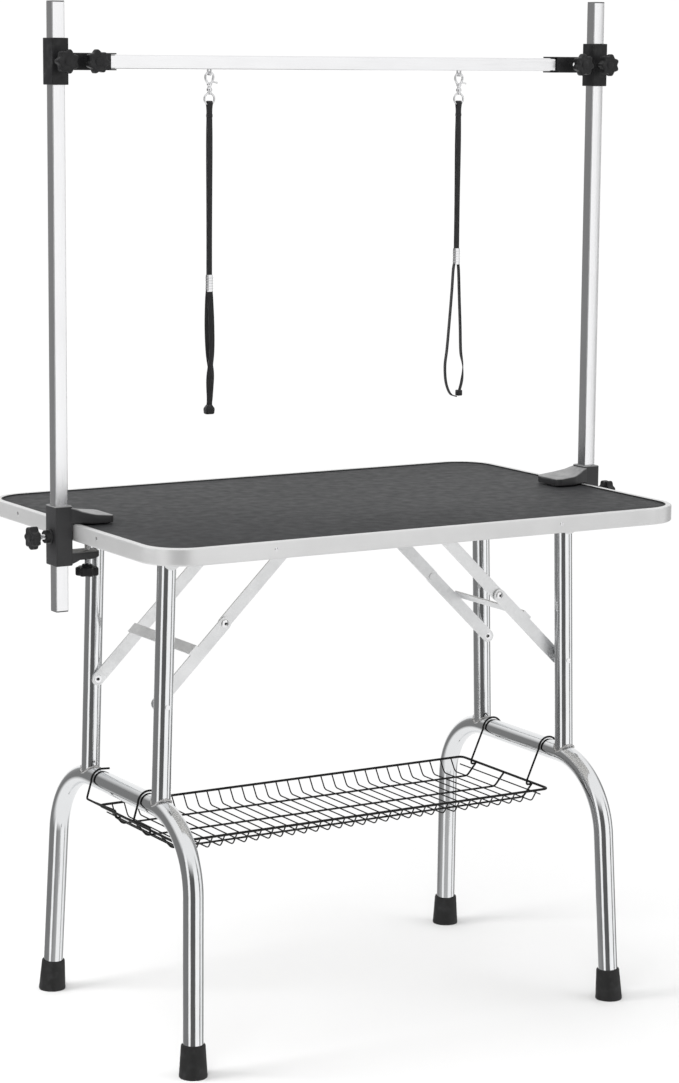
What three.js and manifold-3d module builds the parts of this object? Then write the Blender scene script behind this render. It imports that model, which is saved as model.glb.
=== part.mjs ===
// Folding pet grooming table with an H-shaped overhead arm, two nooses and a wire tray.
// Millimetres, +Z up. Origin: on the floor, under the middle of the top.
// X runs along the length of the top, Y runs away from the groomer, left is -X, front is -Y.
import * as THREE from 'three';
import { mergeVertices } from 'three/addons/utils/BufferGeometryUtils.js';
import Module from 'manifold-3d';

// ---------------------------------------------------------------- driving dimensions
const TOP = { length: 910, width: 600, height: 788, corner: 65 };
const BAND = { height: 25, wall: 2, lip: 9, lipThick: 1.6 };
const MAT_THICK = 3;
const BOARD_THICK = 16;
const GAP = 0.3;

const LEG = {
  pivotX: 350, pivotZ: 743, spreadX: 21, uprightY: 117, uprightR: 14.25,
  bowR: 15.3, wall: 1.5, bowZ: 372, bend: 115, footY: 238, topStub: 13, endLift: 9,
};
const TUBE_SIDES = 14;
const FOOT = { topR: 18.2, bottomR: 20.8, height: 46, wallGap: 0.3 };
const PIN = { r: 3.5, hole: 3.9, headR: 7.5, headThick: 2.4 };

const LINK = { width: 20, thick: 2.6, upperY: 95.4, lowerY: 98.5, arm: 218 };
const YOKE = { start: 54, width: 17, thick: 2.5, offset: 11.2 };

const POST = { x: 470, y: -8, size: 20, wall: 1.5 };
const POST_ENDS = { left: { bottom: 658, top: 1538 }, right: { bottom: 712, top: 1551 } };
const BAR_Z = 1453;
const SLEEVE = { wideX: 26.5, wideY: 31, height: 66, armEnd: 380, armSize: 24.5, bore: 20.8 };
const KNOB = { lobes: 7, r: 15.6, lobe: 1.8, thick: 13, stemR: 4 };
const BAR_KNOB_X = 422;

const CLAMP = {
  bodyX: 28, bodyY: 36, bottom: 727, top: 815, reach: 61, tipWide: 64, tipThick: 11,
  jawReach: 44, jawTop: 746, jawThick: 12, screwX: 425, lockZ: 770, bore: 20.8,
};
const SCREW = { r: 4, padR: 9, padThick: 3, knobZ: 714 };

const TRAY = {
  left: -342, right: 326, halfWidth: 125, rimZ: 320, depth: 20, slope: 18,
  rimR: 2, wireR: 1.1, floorR: 1.6, pitch: 20.5, floorY: 81,
};
const HANGER = {
  r: 1.6, gap: 1, frontHookY: -73, rearHookY: 88, bailY: 78, bailFootY: 57, footReach: 2.6,
};

const NOOSE = {
  leftX: -222, rightX: 214, strapWide: 9, strapThick: 1.6, sliderZ: 1117, rightSliderZ: 1145,
  loopBottom: 936, knotHeight: 15, eyeR: 8.2, eyeWire: 1.5, snapWire: 1.6,
};

// ---------------------------------------------------------------- colours
const look = (color, roughness, metalness) => new THREE.MeshStandardMaterial({ color, roughness, metalness });
const STEEL = look(0xc9ccce, 0.25, 1);
const ZINC = look(0xd6d8da, 0.4, 1);
const ALUMINIUM = look(0xd9dadb, 0.45, 1);
const CHROME = look(0xe4e6e8, 0.12, 1);
const RUBBER_MAT = look(0x47484a, 0.85, 0);
const BLACK_RUBBER = look(0x1c1c1d, 0.8, 0);
const BLACK_PLASTIC = look(0x222224, 0.55, 0);
const BLACK_WIRE = look(0x161617, 0.45, 0.2);
const WEBBING = look(0x1a1a1b, 0.9, 0);
const PLYWOOD = look(0xb48d5c, 0.7, 0);

// ---------------------------------------------------------------- solids
const wasm = await Module();
wasm.setup();

function solid(geometry) {
  const bare = geometry.clone();
  bare.deleteAttribute('normal');
  bare.deleteAttribute('uv');
  const merged = mergeVertices(bare, 1e-4);
  return new wasm.Manifold(new wasm.Mesh({
    numProp: 3,
    vertProperties: new Float32Array(merged.attributes.position.array),
    triVerts: new Uint32Array(merged.index.array),
  }));
}

const joined = (parts) => parts.reduce((whole, part) => whole.add(part));
const cut = (whole, tools) => tools.reduce((left, tool) => left.subtract(tool), whole);

function placed(geometry, x = 0, y = 0, z = 0) {
  geometry.translate(x, y, z);
  return solid(geometry);
}

const box = (sx, sy, sz, x, y, z) => placed(new THREE.BoxGeometry(sx, sy, sz), x, y, z);

// A round rod between two points; a second radius makes it a cone.
function rod(from, to, r, sides = 10, endR = r) {
  const a = new THREE.Vector3(...from);
  const b = new THREE.Vector3(...to);
  const geometry = new THREE.CylinderGeometry(endR, r, a.distanceTo(b), sides);
  const turn = new THREE.Quaternion().setFromUnitVectors(
    new THREE.Vector3(0, 1, 0),
    b.clone().sub(a).normalize(),
  );
  geometry.applyQuaternion(turn);
  return placed(geometry, ...a.add(b).multiplyScalar(0.5).toArray());
}

// A flat outline in the XY plane, thickened upward from z.
function slab(shape, z, thick, curveSegments = 4) {
  const geometry = new THREE.ExtrudeGeometry(shape, { depth: thick, bevelEnabled: false, curveSegments });
  return placed(geometry, 0, 0, z);
}

// A flat outline in the XZ plane, thickened from y to y + thick.
function upright(shape, y, thick, curveSegments = 4) {
  const geometry = new THREE.ExtrudeGeometry(shape, { depth: thick, bevelEnabled: false, curveSegments });
  geometry.rotateX(Math.PI / 2);
  return placed(geometry, 0, y + thick, 0);
}

function circle(r, sides) {
  const shape = new THREE.Shape();
  for (let i = 0; i < sides; i += 1) {
    const a = (2 * Math.PI * (i + 0.5)) / sides;
    const [x, y] = [r * Math.cos(a), r * Math.sin(a)];
    if (i === 0) shape.moveTo(x, y);
    else shape.lineTo(x, y);
  }
  return shape;
}

// A round bar swept along points whose corners are rounded to the given radius.
function wire(points, r, { sides = 6, bend = 4, bendSteps = 3, closed = false } = {}) {
  const p = points.map((q) => new THREE.Vector3(...q));
  const path = [];
  const count = p.length;
  p.forEach((corner, i) => {
    if (bend === 0 || (!closed && (i === 0 || i === count - 1))) {
      path.push(corner);
      return;
    }
    const before = p[(i + count - 1) % count];
    const after = p[(i + 1) % count];
    const back = Math.min(bend, corner.distanceTo(before) * 0.45, corner.distanceTo(after) * 0.45);
    const start = corner.clone().lerp(before, back / corner.distanceTo(before));
    const end = corner.clone().lerp(after, back / corner.distanceTo(after));
    const arc = new THREE.QuadraticBezierCurve3(start, corner, end);
    path.push(...arc.getPoints(bendSteps));
  });
  return solid(sweep(path, r, sides, closed));
}

// Walks a polyline and joins rings of points square to it, so each bend is mitred.
class Polyline extends THREE.Curve {
  constructor(points, closed) {
    super();
    this.points = closed ? [...points, points[0]] : points;
  }

  getPoint(t, target = new THREE.Vector3()) {
    const s = Math.min(t, 1) * (this.points.length - 1);
    const i = Math.min(Math.floor(s + 1e-9), this.points.length - 2);
    return target.lerpVectors(this.points[i], this.points[i + 1], Math.max(s - i, 0));
  }

  getPointAt(u, target) {
    return this.getPoint(u, target);
  }

  getTangentAt(u) {
    const last = this.points.length - 1;
    const i = Math.round(u * last);
    const loop = this.points[0].equals(this.points[last]);
    const here = this.points[i];
    const next = i < last ? this.points[i + 1] : (loop ? this.points[1] : here);
    const prior = i > 0 ? this.points[i - 1] : (loop ? this.points[last - 1] : here);
    const ahead = next.clone().sub(here).normalize();
    const behind = here.clone().sub(prior).normalize();
    return ahead.add(behind).normalize();
  }
}

function sweep(path, r, sides, closed) {
  const line = new Polyline(path, closed);
  const steps = line.points.length - 1;
  const geometry = new THREE.ExtrudeGeometry(circle(r, sides), { steps, extrudePath: line, bevelEnabled: false });
  return geometry;
}

const group = new THREE.Group();

function piece(name, material, body) {
  const mesh = body.getMesh();
  const geometry = new THREE.BufferGeometry();
  geometry.setAttribute('position', new THREE.BufferAttribute(new Float32Array(mesh.vertProperties), 3));
  geometry.setIndex(new THREE.BufferAttribute(new Uint32Array(mesh.triVerts), 1));
  geometry.computeVertexNormals();
  const node = new THREE.Mesh(geometry, material);
  node.name = name;
  group.add(node);
}

const SIDES = [['left', -1], ['right', 1]];
const ENDS = [['front', -1], ['rear', 1]];

// ---------------------------------------------------------------- top
function roundedRect(halfX, halfY, r) {
  const shape = new THREE.Shape();
  shape.moveTo(-halfX + r, -halfY);
  shape.lineTo(halfX - r, -halfY);
  shape.absarc(halfX - r, -halfY + r, r, -Math.PI / 2, 0);
  shape.lineTo(halfX, halfY - r);
  shape.absarc(halfX - r, halfY - r, r, 0, Math.PI / 2);
  shape.lineTo(-halfX + r, halfY);
  shape.absarc(-halfX + r, halfY - r, r, Math.PI / 2, Math.PI);
  shape.lineTo(-halfX, -halfY + r);
  shape.absarc(-halfX + r, -halfY + r, r, Math.PI, 1.5 * Math.PI);
  return shape;
}

const topPlan = (inset) => roundedRect(TOP.length / 2 - inset, TOP.width / 2 - inset, TOP.corner - inset);

const bandBottom = TOP.height - BAND.height;
const matTop = TOP.height - BAND.lipThick - GAP;
const boardTop = matTop - MAT_THICK - GAP;
const boardBottom = boardTop - BOARD_THICK;

function edgeBand() {
  const shell = slab(topPlan(0), bandBottom, BAND.height);
  const pocketHeight = BAND.height - 2 * BAND.lipThick;
  const pocket = slab(topPlan(BAND.wall), bandBottom + BAND.lipThick, pocketHeight);
  const mouth = slab(topPlan(BAND.lip), bandBottom - 1, BAND.height + 2);
  return cut(shell, [pocket, mouth]);
}

piece('edge_band', ALUMINIUM, edgeBand());
piece('rubber_mat', RUBBER_MAT, slab(topPlan(BAND.lip + GAP), matTop - MAT_THICK, MAT_THICK));
piece('tabletop_board', PLYWOOD, slab(topPlan(BAND.wall + GAP), boardBottom, BOARD_THICK));

// ---------------------------------------------------------------- hinge plates under the top
const plateTop = boardBottom - GAP;
const PLATE_THICK = 2.5;

// An ear hangs from the plate and ends round about the pivot height.
function ear(x, r, z) {
  const shape = new THREE.Shape();
  shape.moveTo(x - r, plateTop - PLATE_THICK / 2);
  shape.lineTo(x - r, z);
  shape.absarc(x, z, r, Math.PI, 2 * Math.PI);
  shape.lineTo(x + r, plateTop - PLATE_THICK / 2);
  return shape;
}

function legHingePlate(side) {
  const x = side * LEG.pivotX;
  const earGap = LEG.uprightR + 1.6;
  const earThick = 2.5;
  const parts = [box(56, 2 * LEG.uprightY + 70, PLATE_THICK, x, 0, plateTop - PLATE_THICK / 2)];
  for (const end of [-1, 1]) {
    for (const face of [-1, 1]) {
      const y = end * LEG.uprightY + face * (earGap + earThick / 2);
      parts.push(upright(ear(x, 15, LEG.pivotZ), y - earThick / 2, earThick));
    }
  }
  const bores = [-1, 1].map((end) => rod(
    [x, end * LEG.uprightY - 30, LEG.pivotZ],
    [x, end * LEG.uprightY + 30, LEG.pivotZ],
    PIN.hole,
  ));
  return cut(joined(parts), bores);
}

// The brace plate's ears carry formed studs that the upper links turn on.
function braceHingePlate(side) {
  const x = side * (LEG.pivotX - LINK.arm);
  const earThick = 2.6;
  const earY = LINK.upperY - LINK.thick / 2 - 0.5 - earThick / 2;
  const parts = [box(44, 2 * earY + 40, PLATE_THICK, x, 0, plateTop - PLATE_THICK / 2)];
  for (const end of [-1, 1]) {
    parts.push(upright(ear(x, 11, LEG.pivotZ), end * earY - earThick / 2, earThick));
    parts.push(rod(
      [x, end * (earY - earThick / 2 - 1.5), LEG.pivotZ],
      [x, end * (LINK.upperY + LINK.thick / 2), LEG.pivotZ],
      PIN.r,
    ));
  }
  return joined(parts);
}

// ---------------------------------------------------------------- folding leg frames
const tilt = Math.atan2(LEG.spreadX, LEG.pivotZ);
const legDown = LEG.pivotZ / Math.cos(tilt);

// A frame is laid out in its own plane: y across, d down from the pivot.
const framePoint = (side, y, d) => [
  side * (LEG.pivotX + d * Math.sin(tilt)),
  y,
  LEG.pivotZ - d * Math.cos(tilt),
];

// Half of the bow's centre line: foot, straight leg, bend, then the level tube.
function bowPath(side, footD) {
  const splay = Math.PI / 60;
  const bowD = (LEG.pivotZ - LEG.bowZ) / Math.cos(tilt);
  const bendTopD = bowD + LEG.bend;
  const bendEndD = bendTopD - LEG.bend * Math.sin(splay);
  const bendEndY = LEG.footY - (legDown - bendEndD) * Math.tan(splay);
  const bendY = bendEndY - LEG.bend * Math.cos(splay);
  const half = [[LEG.footY - (legDown - footD) * Math.tan(splay), footD]];
  const steps = 6;
  for (let i = 0; i <= steps; i += 1) {
    const a = splay + (i / steps) * (Math.PI / 2 - splay);
    half.push([bendY + LEG.bend * Math.cos(a), bendTopD - LEG.bend * Math.sin(a)]);
  }
  const rear = half.map(([y, d]) => [-y, d]).reverse();
  return [...half, ...rear].map(([y, d]) => new THREE.Vector3(...framePoint(side, y, d)));
}

const bowTube = (side, r, footD) => solid(sweep(bowPath(side, footD), r, TUBE_SIDES, false));
const footEndD = legDown - LEG.endLift;

function legFrame(side) {
  const bowD = (LEG.pivotZ - LEG.bowZ) / Math.cos(tilt);
  const stub = -LEG.topStub;
  const tubes = [-1, 1].map((end) => rod(
    framePoint(side, end * LEG.uprightY, bowD),
    framePoint(side, end * LEG.uprightY, stub),
    LEG.uprightR,
    TUBE_SIDES,
  ));
  const bores = [-1, 1].map((end) => rod(
    framePoint(side, end * LEG.uprightY, bowD - LEG.bowR - 4),
    framePoint(side, end * LEG.uprightY, stub - 5),
    LEG.uprightR - LEG.wall,
    TUBE_SIDES,
  ));
  const holes = [];
  for (const end of [-1, 1]) {
    for (const d of [0, LINK.arm]) {
      const [x, , z] = framePoint(side, 0, d);
      const y = end * LEG.uprightY;
      holes.push(rod([x, y - 25, z], [x, y + 25, z], PIN.hole));
    }
  }
  const shell = joined([bowTube(side, LEG.bowR, footEndD), ...tubes]);
  return cut(shell, [bowTube(side, LEG.bowR - LEG.wall, footEndD + 5), ...bores, ...holes]);
}

// A rubber cup over the tube end, cut level with the floor.
function foot(side, end) {
  const path = bowPath(side, legDown + 6);
  const low = end < 0 ? path[path.length - 1] : path[0];
  const high = end < 0 ? path[path.length - 2] : path[1];
  const up = high.clone().sub(low).normalize();
  const at = (d) => low.clone().addScaledVector(up, d).toArray();
  const cup = rod(at(0), at(FOOT.height + 6), FOOT.bottomR, 16, FOOT.topR);
  const socket = rod(at(6 + LEG.endLift - 1), at(FOOT.height + 20), LEG.bowR + FOOT.wallGap, 16);
  const below = box(120, 120, 40, low.x, low.y, -20);
  return cut(cup, [socket, below]);
}

// Bolt through an ear, the upright and the other ear.
function pivotBolt(side, end) {
  const x = side * LEG.pivotX;
  const y = end * LEG.uprightY;
  const half = LEG.uprightR + 1.6 + 2.5 + 0.2;
  const z = LEG.pivotZ;
  return joined([
    rod([x, y - half - 1, z], [x, y + half + 1, z], PIN.r),
    rod([x, y - half - PIN.headThick, z], [x, y - half, z], PIN.headR),
    rod([x, y + half, z], [x, y + half + PIN.headThick, z], PIN.headR),
  ]);
}

// Rivet through the upright into the lower link; its collar spaces the link off the tube.
function lowerRivet(side, end) {
  const [x, , z] = framePoint(side, 0, LINK.arm);
  const inner = LINK.lowerY - LINK.thick / 2;
  const collar = LINK.lowerY + LINK.thick / 2 + 0.15;
  const outer = LEG.uprightY + LEG.uprightR + 0.2;
  return joined([
    rod([x, end * inner, z], [x, end * (outer + 1), z], PIN.r),
    rod([x, end * collar, z], [x, end * (LEG.uprightY - LEG.uprightR - 0.15), z], PIN.headR - 1),
    rod([x, end * outer, z], [x, end * (outer + PIN.headThick), z], PIN.headR),
  ]);
}

// ---------------------------------------------------------------- folding braces
const braceTop = (side) => [side * (LEG.pivotX - LINK.arm), LEG.pivotZ];
const braceFoot = (side) => {
  const [x, , z] = framePoint(side, 0, LINK.arm);
  return [x, z];
};
const braceMid = (side) => {
  const [a, b] = [braceTop(side), braceFoot(side)];
  return [(a[0] + b[0]) / 2, (a[1] + b[1]) / 2];
};

// A strip with round ends between two points of the XZ plane.
function strip(from, to, width) {
  const angle = Math.atan2(to[1] - from[1], to[0] - from[0]);
  const r = width / 2;
  const shape = new THREE.Shape();
  shape.absarc(from[0], from[1], r, angle + Math.PI / 2, angle + 1.5 * Math.PI);
  shape.absarc(to[0], to[1], r, angle - Math.PI / 2, angle + Math.PI / 2);
  return shape;
}

function upperLink(side, end) {
  const [top, mid] = [braceTop(side), braceMid(side)];
  const y = end * LINK.upperY;
  const innerFace = end * (LINK.upperY - LINK.thick / 2);
  const body = upright(strip(top, mid, LINK.width), y - LINK.thick / 2, LINK.thick);
  const head = rod([mid[0], innerFace - end * 1.8, mid[1]], [mid[0], y, mid[1]], PIN.headR - 1);
  const bore = rod([top[0], y - 10, top[1]], [top[0], y + 10, top[1]], PIN.hole);
  return cut(joined([body, head]), [bore]);
}

// Both lower links and the flat bar that ties them, standing off their leg-side edges.
function lowerYoke(side) {
  const [mid, low] = [braceMid(side), braceFoot(side)];
  const reach = Math.hypot(low[0] - mid[0], low[1] - mid[1]);
  const along = [(low[0] - mid[0]) / reach, (low[1] - mid[1]) / reach];
  const out = [-along[1] * side, along[0] * side];
  const at = (s, n) => [mid[0] + s * along[0] + n * out[0], mid[1] + s * along[1] + n * out[1]];
  const patch = (s0, s1, n0, n1) => {
    const shape = new THREE.Shape();
    shape.moveTo(...at(s0, n0));
    shape.lineTo(...at(s1, n0));
    shape.lineTo(...at(s1, n1));
    shape.lineTo(...at(s0, n1));
    return shape;
  };
  const edge = YOKE.offset + YOKE.thick;
  const parts = [];
  for (const end of [-1, 1]) {
    const y = end * LINK.lowerY - LINK.thick / 2;
    parts.push(upright(strip(mid, low, LINK.width), y, LINK.thick));
    parts.push(upright(patch(YOKE.start, YOKE.start + YOKE.width, 0, edge), y, LINK.thick));
  }
  const bar = patch(YOKE.start, YOKE.start + YOKE.width, YOKE.offset, edge);
  parts.push(upright(bar, -LINK.lowerY, 2 * LINK.lowerY));
  const bores = [mid, low].map(([x, z]) => rod([x, -130, z], [x, 130, z], PIN.hole));
  return cut(joined(parts), bores);
}

function midRivet(side, end) {
  const [x, z] = braceMid(side);
  const outer = LINK.lowerY + LINK.thick / 2 + 0.15;
  return joined([
    rod([x, end * (LINK.lowerY - LINK.thick / 2), z], [x, end * (outer + 1), z], PIN.r),
    rod([x, end * outer, z], [x, end * (outer + 1.9), z], PIN.headR - 1),
  ]);
}

for (const [name, side] of SIDES) {
  piece(`${name}_leg_hinge_plate`, ZINC, legHingePlate(side));
  piece(`${name}_brace_hinge_plate`, ZINC, braceHingePlate(side));
  piece(`${name}_leg_frame`, STEEL, legFrame(side));
  piece(`${name}_lower_brace_yoke`, ZINC, lowerYoke(side));
  for (const [endName, end] of ENDS) {
    piece(`${name}_${endName}_foot`, BLACK_RUBBER, foot(side, end));
    piece(`${name}_${endName}_pivot_bolt`, ZINC, pivotBolt(side, end));
    piece(`${name}_${endName}_upper_link`, ZINC, upperLink(side, end));
    piece(`${name}_${endName}_mid_rivet`, ZINC, midRivet(side, end));
    piece(`${name}_${endName}_lower_rivet`, ZINC, lowerRivet(side, end));
  }
}

// ---------------------------------------------------------------- hand knobs
// A lobed hand knob whose stem points along -direction, with its inner face at the origin.
function knob(at, direction, stem) {
  const shape = new THREE.Shape();
  const steps = KNOB.lobes * 4;
  for (let i = 0; i < steps; i += 1) {
    const a = (2 * Math.PI * i) / steps;
    const r = KNOB.r + KNOB.lobe * Math.cos(KNOB.lobes * a);
    if (i === 0) shape.moveTo(r, 0);
    else shape.lineTo(r * Math.cos(a), r * Math.sin(a));
  }
  const head = new THREE.ExtrudeGeometry(shape, { depth: KNOB.thick, bevelEnabled: false });
  const shaft = new THREE.CylinderGeometry(KNOB.stemR, KNOB.stemR, stem + 2, 10);
  shaft.rotateX(Math.PI / 2);
  shaft.translate(0, 0, 1 - stem / 2);
  const turn = new THREE.Quaternion().setFromUnitVectors(
    new THREE.Vector3(0, 0, 1),
    new THREE.Vector3(...direction),
  );
  for (const geometry of [head, shaft]) {
    geometry.applyQuaternion(turn);
    geometry.translate(...at);
  }
  return solid(head).add(solid(shaft));
}

// ---------------------------------------------------------------- table clamps
function clamp(side) {
  const x = side * POST.x;
  const inner = TOP.length / 2 + 0.8;
  const outer = inner + CLAMP.bodyX;
  const plan = (points) => {
    const shape = new THREE.Shape();
    points.forEach(([d, y], i) => {
      if (i === 0) shape.moveTo(side * d, POST.y + y);
      else shape.lineTo(side * d, POST.y + y);
    });
    return shape;
  };
  const half = CLAMP.bodyY / 2;
  const tip = inner - CLAMP.reach;
  const wide = CLAMP.tipWide / 2;
  const chamfer = 9;
  const armPlan = plan([
    [outer - 4, -half], [inner - 6, -half - 3], [inner - 26, -wide], [tip + chamfer, -wide],
    [tip, -wide + chamfer], [tip, wide - chamfer], [tip + chamfer, wide], [inner - 26, wide],
    [inner - 6, half + 3], [outer - 4, half],
  ]);
  const armBottom = TOP.height + 0.4;
  const rise = CLAMP.top - armBottom;
  const slopeTop = new THREE.Shape();
  slopeTop.moveTo(side * (outer + 20), armBottom + rise + 10);
  slopeTop.lineTo(side * inner, armBottom + rise - 9);
  slopeTop.lineTo(side * (tip - 2), armBottom + CLAMP.tipThick);
  slopeTop.lineTo(side * (tip - 2), armBottom + rise + 30);
  slopeTop.lineTo(side * (outer + 20), armBottom + rise + 30);
  const arm = slab(armPlan, armBottom, rise).subtract(upright(slopeTop, POST.y - 60, 120));
  const jawTip = inner - CLAMP.jawReach;
  const jaw = new THREE.Shape();
  jaw.moveTo(side * (inner + 2), CLAMP.jawTop);
  jaw.lineTo(side * jawTip, CLAMP.jawTop);
  jaw.lineTo(side * jawTip, CLAMP.jawTop - CLAMP.jawThick + 3);
  jaw.lineTo(side * (jawTip + 6), CLAMP.jawTop - CLAMP.jawThick);
  jaw.lineTo(side * (inner - 12), CLAMP.jawTop - CLAMP.jawThick);
  jaw.lineTo(side * (inner + 2), CLAMP.bottom + 2);
  const midX = side * (inner + CLAMP.bodyX / 2);
  const midZ = (CLAMP.top + CLAMP.bottom) / 2;
  const parts = [
    box(CLAMP.bodyX, CLAMP.bodyY, CLAMP.top - CLAMP.bottom, midX, POST.y, midZ),
    arm,
    upright(jaw, POST.y - 16, 32),
    rod([side * (outer - 1), POST.y, CLAMP.lockZ], [side * (outer + 11), POST.y, CLAMP.lockZ], 10.5),
  ];
  const tools = [
    box(CLAMP.bore, CLAMP.bore, 200, x, POST.y, midZ),
    rod([side * (outer - 8), POST.y, CLAMP.lockZ], [side * (outer + 20), POST.y, CLAMP.lockZ], 4.4),
    rod([side * CLAMP.screwX, POST.y, 700], [side * CLAMP.screwX, POST.y, CLAMP.jawTop + 4], 4.4),
  ];
  return cut(joined(parts), tools);
}

function pad(side) {
  const x = side * CLAMP.screwX;
  const top = boardBottom - GAP;
  return rod([x, POST.y, top - SCREW.padThick], [x, POST.y, top], SCREW.padR, 14);
}

function clampScrew(side) {
  const x = side * CLAMP.screwX;
  const top = boardBottom - 2 * GAP - SCREW.padThick;
  const knobTop = SCREW.knobZ + KNOB.thick / 2;
  return knob([x, POST.y, knobTop], [0, 0, -1], top - knobTop);
}

function lockKnob(side) {
  const face = TOP.length / 2 + 0.8 + CLAMP.bodyX + 22;
  const stem = face - POST.x - POST.size / 2 - 0.4;
  return knob([side * face, POST.y, CLAMP.lockZ], [side, 0, 0], stem);
}

// ---------------------------------------------------------------- posts, crossbar, connectors
function post(name, side) {
  const { bottom, top } = POST_ENDS[name];
  const height = top - bottom;
  const z = (top + bottom) / 2;
  const core = POST.size - 2 * POST.wall;
  return box(POST.size, POST.size, height, side * POST.x, POST.y, z)
    .subtract(box(core, core, height + 10, side * POST.x, POST.y, z));
}

const STAPLE = { r: 1.5, halfSpan: 4.5, drop: 8 };

// The square crossbar with a small welded staple under it for each noose.
function crossbar() {
  const length = 2 * (POST.x - POST.size / 2 - 4);
  const core = POST.size - 2 * POST.wall;
  const under = BAR_Z - POST.size / 2;
  const tube = box(length, POST.size, POST.size, 0, POST.y, BAR_Z)
    .subtract(box(length + 10, core, core, 0, POST.y, BAR_Z));
  const staples = [NOOSE.leftX, NOOSE.rightX].map((x) => wire([
    [x, POST.y - STAPLE.halfSpan, under + 1],
    [x, POST.y - STAPLE.halfSpan, under - STAPLE.drop],
    [x, POST.y + STAPLE.halfSpan, under - STAPLE.drop],
    [x, POST.y + STAPLE.halfSpan, under + 1],
  ], STAPLE.r, { sides: 8, bend: 3 }));
  return joined([tube, ...staples]);
}

function connector(side) {
  const x = side * POST.x;
  const sleeveInner = POST.x - SLEEVE.wideX / 2;
  const armLength = sleeveInner - SLEEVE.armEnd + 2;
  const armX = side * (SLEEVE.armEnd + armLength / 2);
  const barEnd = POST.x - POST.size / 2 - 3.5;
  const boreLength = barEnd - SLEEVE.armEnd + 10;
  const parts = [
    box(SLEEVE.wideX, SLEEVE.wideY, SLEEVE.height, x, POST.y, BAR_Z),
    box(armLength, SLEEVE.armSize + 2, SLEEVE.armSize, armX, POST.y, BAR_Z),
  ];
  const tools = [
    box(SLEEVE.bore, SLEEVE.bore, SLEEVE.height + 10, x, POST.y, BAR_Z),
    box(boreLength, SLEEVE.bore, SLEEVE.bore, side * (barEnd - boreLength / 2), POST.y, BAR_Z),
  ];
  for (const kx of [x, side * BAR_KNOB_X]) {
    tools.push(rod([kx, POST.y - 30, BAR_Z], [kx, POST.y, BAR_Z], 4.4));
  }
  return cut(joined(parts), tools);
}

function connectorKnob(x) {
  const face = SLEEVE.wideY / 2 + 15;
  return knob([x, POST.y - face, BAR_Z], [0, -1, 0], face - POST.size / 2 - 0.4);
}

for (const [name, side] of SIDES) {
  piece(`${name}_clamp`, BLACK_PLASTIC, clamp(side));
  piece(`${name}_clamp_lock_knob`, BLACK_PLASTIC, lockKnob(side));
  piece(`${name}_clamp_pad`, BLACK_RUBBER, pad(side));
  piece(`${name}_clamp_screw`, BLACK_PLASTIC, clampScrew(side));
  piece(`${name}_post`, STEEL, post(name, side));
  piece(`${name}_connector`, BLACK_PLASTIC, connector(side));
  piece(`${name}_post_knob`, BLACK_PLASTIC, connectorKnob(side * POST.x));
  piece(`${name}_bar_knob`, BLACK_PLASTIC, connectorKnob(side * BAR_KNOB_X));
}
piece('crossbar', STEEL, crossbar());

// ---------------------------------------------------------------- wire tray
function tray() {
  const { left, right, halfWidth, rimZ, depth, slope, wireR, floorR } = TRAY;
  const floorZ = rimZ - depth;
  const rim = wire(
    [[left, -halfWidth, rimZ], [right, -halfWidth, rimZ], [right, halfWidth, rimZ], [left, halfWidth, rimZ]],
    TRAY.rimR,
    { bend: 10, closed: true },
  );
  const parts = [rim];
  const from = left + slope + 4;
  const count = Math.round((right - left - 2 * slope - 8) / TRAY.pitch);
  const pitch = (right - left - 2 * slope - 8) / count;
  for (let i = 0; i <= count; i += 1) {
    const x = from + i * pitch;
    parts.push(wire(
      [[x, -halfWidth, rimZ], [x, -halfWidth + slope, floorZ], [x, halfWidth - slope, floorZ], [x, halfWidth, rimZ]],
      wireR,
      { sides: 4, bend: 0 },
    ));
  }
  for (const y of [-TRAY.floorY, 0, TRAY.floorY]) {
    parts.push(wire(
      [[left, y, rimZ], [left + slope, y, floorZ - 1], [right - slope, y, floorZ - 1], [right, y, rimZ]],
      floorR,
      { sides: 4, bend: 0 },
    ));
  }
  for (const x of [left + slope / 2, right - slope / 2]) {
    const reach = halfWidth - slope / 2;
    parts.push(wire([[x, -reach, rimZ - depth / 2], [x, reach, rimZ - depth / 2]], wireR, { sides: 4 }));
  }
  return joined(parts);
}

piece('wire_tray', BLACK_WIRE, tray());

// Points round the bow tube from one angle to another, in the plane of a hanger.
function roundBow(side, y, fromDeg, toDeg) {
  const [x, , z] = framePoint(side, 0, (LEG.pivotZ - LEG.bowZ) / Math.cos(tilt));
  const r = LEG.bowR + HANGER.gap + HANGER.r;
  const steps = Math.round(Math.abs(toDeg - fromDeg) / 30);
  return Array.from({ length: steps + 1 }, (_, i) => {
    const a = THREE.MathUtils.degToRad(fromDeg + ((toDeg - fromDeg) * i) / steps);
    return [x + side * r * Math.cos(a), y, z + r * Math.sin(a)];
  });
}

const underRim = TRAY.rimZ - TRAY.rimR - HANGER.r - 0.5;
const insideRim = TRAY.rimR + HANGER.r + 2;

// A long wire hook over the right bow tube, with a short foot under the end of the rim.
function trayHook(y) {
  const legX = TRAY.right - insideRim;
  return wire([
    ...roundBow(1, y, 30, 180),
    [legX, y, TRAY.rimZ + 2],
    [legX, y, underRim],
    [TRAY.right + 3, y, underRim],
  ], HANGER.r, { bend: 2, bendSteps: 2 });
}

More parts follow.
